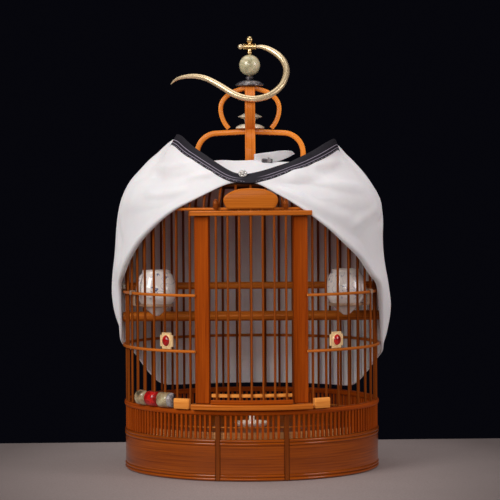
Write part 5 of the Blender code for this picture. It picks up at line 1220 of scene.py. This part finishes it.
for i in range(2 * REACHED):
    for s in range(count):
        n = (s + 1) % count
        band.face((i * count + s, i * count + n, (i + 1) * count + n, (i + 1) * count + s),
                  (coords[i][s], coords[i][n], coords[i + 1][n], coords[i + 1][s]))
for i in (0, 2 * REACHED):
    band.face(range(i * count, (i + 1) * count), coords[i])
band_piece = band.make("band_ribbon", [RIBBON], "cover_band", slot="binding", smooth=50)

stitch = Shape()
for step, k in enumerate(BAND_COLUMNS[2:-2]):
    ends = []
    for at in (k, k + 0.62):
        side, share, half, *edge = edge_frame(at)
        ends.append(on_band(at, *edge, 1.2 - half, 1.25))
    if step % 3 != 2 and 0.011 < share < TIPS[side] - 0.012:
        stitch.rod(ends, 0.00028, 5, normal=(ends[1] - ends[0]).cross(UP).normalized())
stitch_piece = stitch.make("band_stitches", [THREAD], slot="binding")

CLASP_X = -0.0094
r0, z0 = (value / 1000 for value in columns[round(COLUMNS * asin(CLASP_X / 0.1529) / TURN)][-1])
heart = vec(CLASP_X, -sqrt(r0 * r0 - CLASP_X * CLASP_X) - 0.0012, z0 + 0.0062)
axes = right, up, out = wall_frame(asin(CLASP_X / r0))
clasp = Shape().dome(heart, axes, 0.002, 0.0018, 0.0026, 6, 20)
for first, far, high, petal in ((0.25, 0.0038, 0.003, (0.0018, 0.0016, 0.0017, 5, 16)),
                                (0.75, 0.0049, 0.0037, (0.0008, 0.0008, 0.0011, 3, 10))):
    for k in range(6):
        turn = TURN * (k + first) / 6
        clasp.dome(heart + right * (far * cos(turn)) + up * (high * sin(turn)), axes, *petal)
clasp_piece = clasp.make("clasp_flower", [SILVER], "clasp", slot="silver", smooth=50)

TOGGLE = mm((-6.8, 1.6), (-6.6, 2.6), (-5, 3.1), (0, 2.9), (5, 3.1), (6.6, 2.6), (6.8, 1.6))
TOGGLE_TURN = radians(14.2)
right, up, out = wall_frame(TOGGLE_TURN)
spot = ring_point(TOGGLE_TURN, 0.0858, 0.3936)
toggle = Shape().rod([spot + right * x for x, _ in TOGGLE], [r for _, r in TOGGLE], 24)
toggle.rod([spot + right * 0.002 + up * z + out * 0.0006 * z / 0.004 for z in (-0.0042, 0.0042)], 0.0011, 16)
toggle.make("cord_toggle", [DARK], slot="dark_stone", smooth=50)


# Table, backdrop, light and camera

TABLE_Z = -0.0005
p = Paint("table_top_painted_light_pool")
place = p.place()
grit = p.noise(place, 420, 4, 0.65)
tone = p.ramp(grit, ((0.35, (0.29, 0.24, 0.228)), (0.65, (0.38, 0.318, 0.302))))
tone = p.mix(p.ramp(p.noise(place, 5, 2, 0.5), ((0.35, 0), (0.7, 0.35))), tone, (0.245, 0.205, 0.195))
# Darker away from under the cage: a painted pool of light on the table.
far = p.node("VectorMath", {0: p.place((1, 0.6, 1))}, operation="LENGTH").outputs["Value"]
tone = p.mix(p.ramp(far, ((0.14, 0), (0.36, 0.8))), tone, (0.1, 0.078, 0.073))
mesh = bpy.data.meshes.new("table")
mesh.from_pydata([(x, y, TABLE_Z) for x, y in ((-1.6, -1.5), (1.6, -1.5), (1.6, 0.318), (-1.6, 0.21))], [],
                 [(0, 1, 2, 3)])
table = add_object("table", mesh)
mesh.materials.append(p.done(tone, 0.75, p.bump(grit, 0.0002, 0.2)))

world = bpy.data.worlds.new("studio")
bpy.context.scene.world = world
world.use_nodes = True
sky = Nodes(world.node_tree)
lit = world.node_tree.nodes["Background"]
lit.inputs["Color"].default_value = (0.91, 0.81, 0.81, 1)
lit.inputs["Strength"].default_value = 0.46
seen = sky.node("Background", {"Color": (0.002, 0.002, 0.0036, 1), "Strength": 1})
rays = sky.node("LightPath").outputs
link = rays["Is Camera Ray"]
for kind in ("Is Glossy Ray", "Is Transmission Ray"):
    link = sky.math("MAXIMUM", link, rays[kind])
pick = sky.node("MixShader", {0: link, 1: lit.outputs[0], 2: seen.outputs[0]})
sky.put(world.node_tree.nodes["World Output"].inputs[0], pick.outputs[0])

for name, place, aim, wide, high, watts, colour in (
        ("key", (-1.28, -1.48, 1.25), 0.22, 0.9, 1.2, 28, (1, 0.975, 0.955)),
        ("fill", (1.95, -1.1, 1), 0.22, 0.7, 1.1, 14, (1, 0.93, 0.94)),
        ("front", (-0.25, -2.35, 0.85), 0.25, 0.9, 0.6, 7, (1, 0.97, 0.95)),
        ("top", (0.1, 0.1, 1.7), 0.3, 1, 1, 5, (1, 1, 1))):
    light = bpy.data.lights.new(name, "AREA")
    light.shape = "RECTANGLE"
    light.size, light.size_y = wide, high
    light.energy, light.color = watts, colour
    lamp = add_object(name, light)
    lamp.location = place
    lamp.rotation_euler = (vec(0, 0, aim) - Vector(place)).to_track_quat("-Z", "Y").to_euler()

camera = bpy.data.cameras.new("camera")
camera.lens = 144.2
camera.sensor_width = 36
camera.shift_x = 0.005
camera.clip_start, camera.clip_end = 0.1, 20
view = add_object("camera", camera)
view.matrix_world = (Matrix.Translation((-0.0043, -2.607, 0.3372))
                     @ Matrix.Rotation(pi / 2 - 0.02205, 4, "X") @ Matrix.Rotation(-0.0063, 4, "Z"))
bpy.context.scene.camera = view
bpy.context.scene.view_settings.view_transform = "Standard"
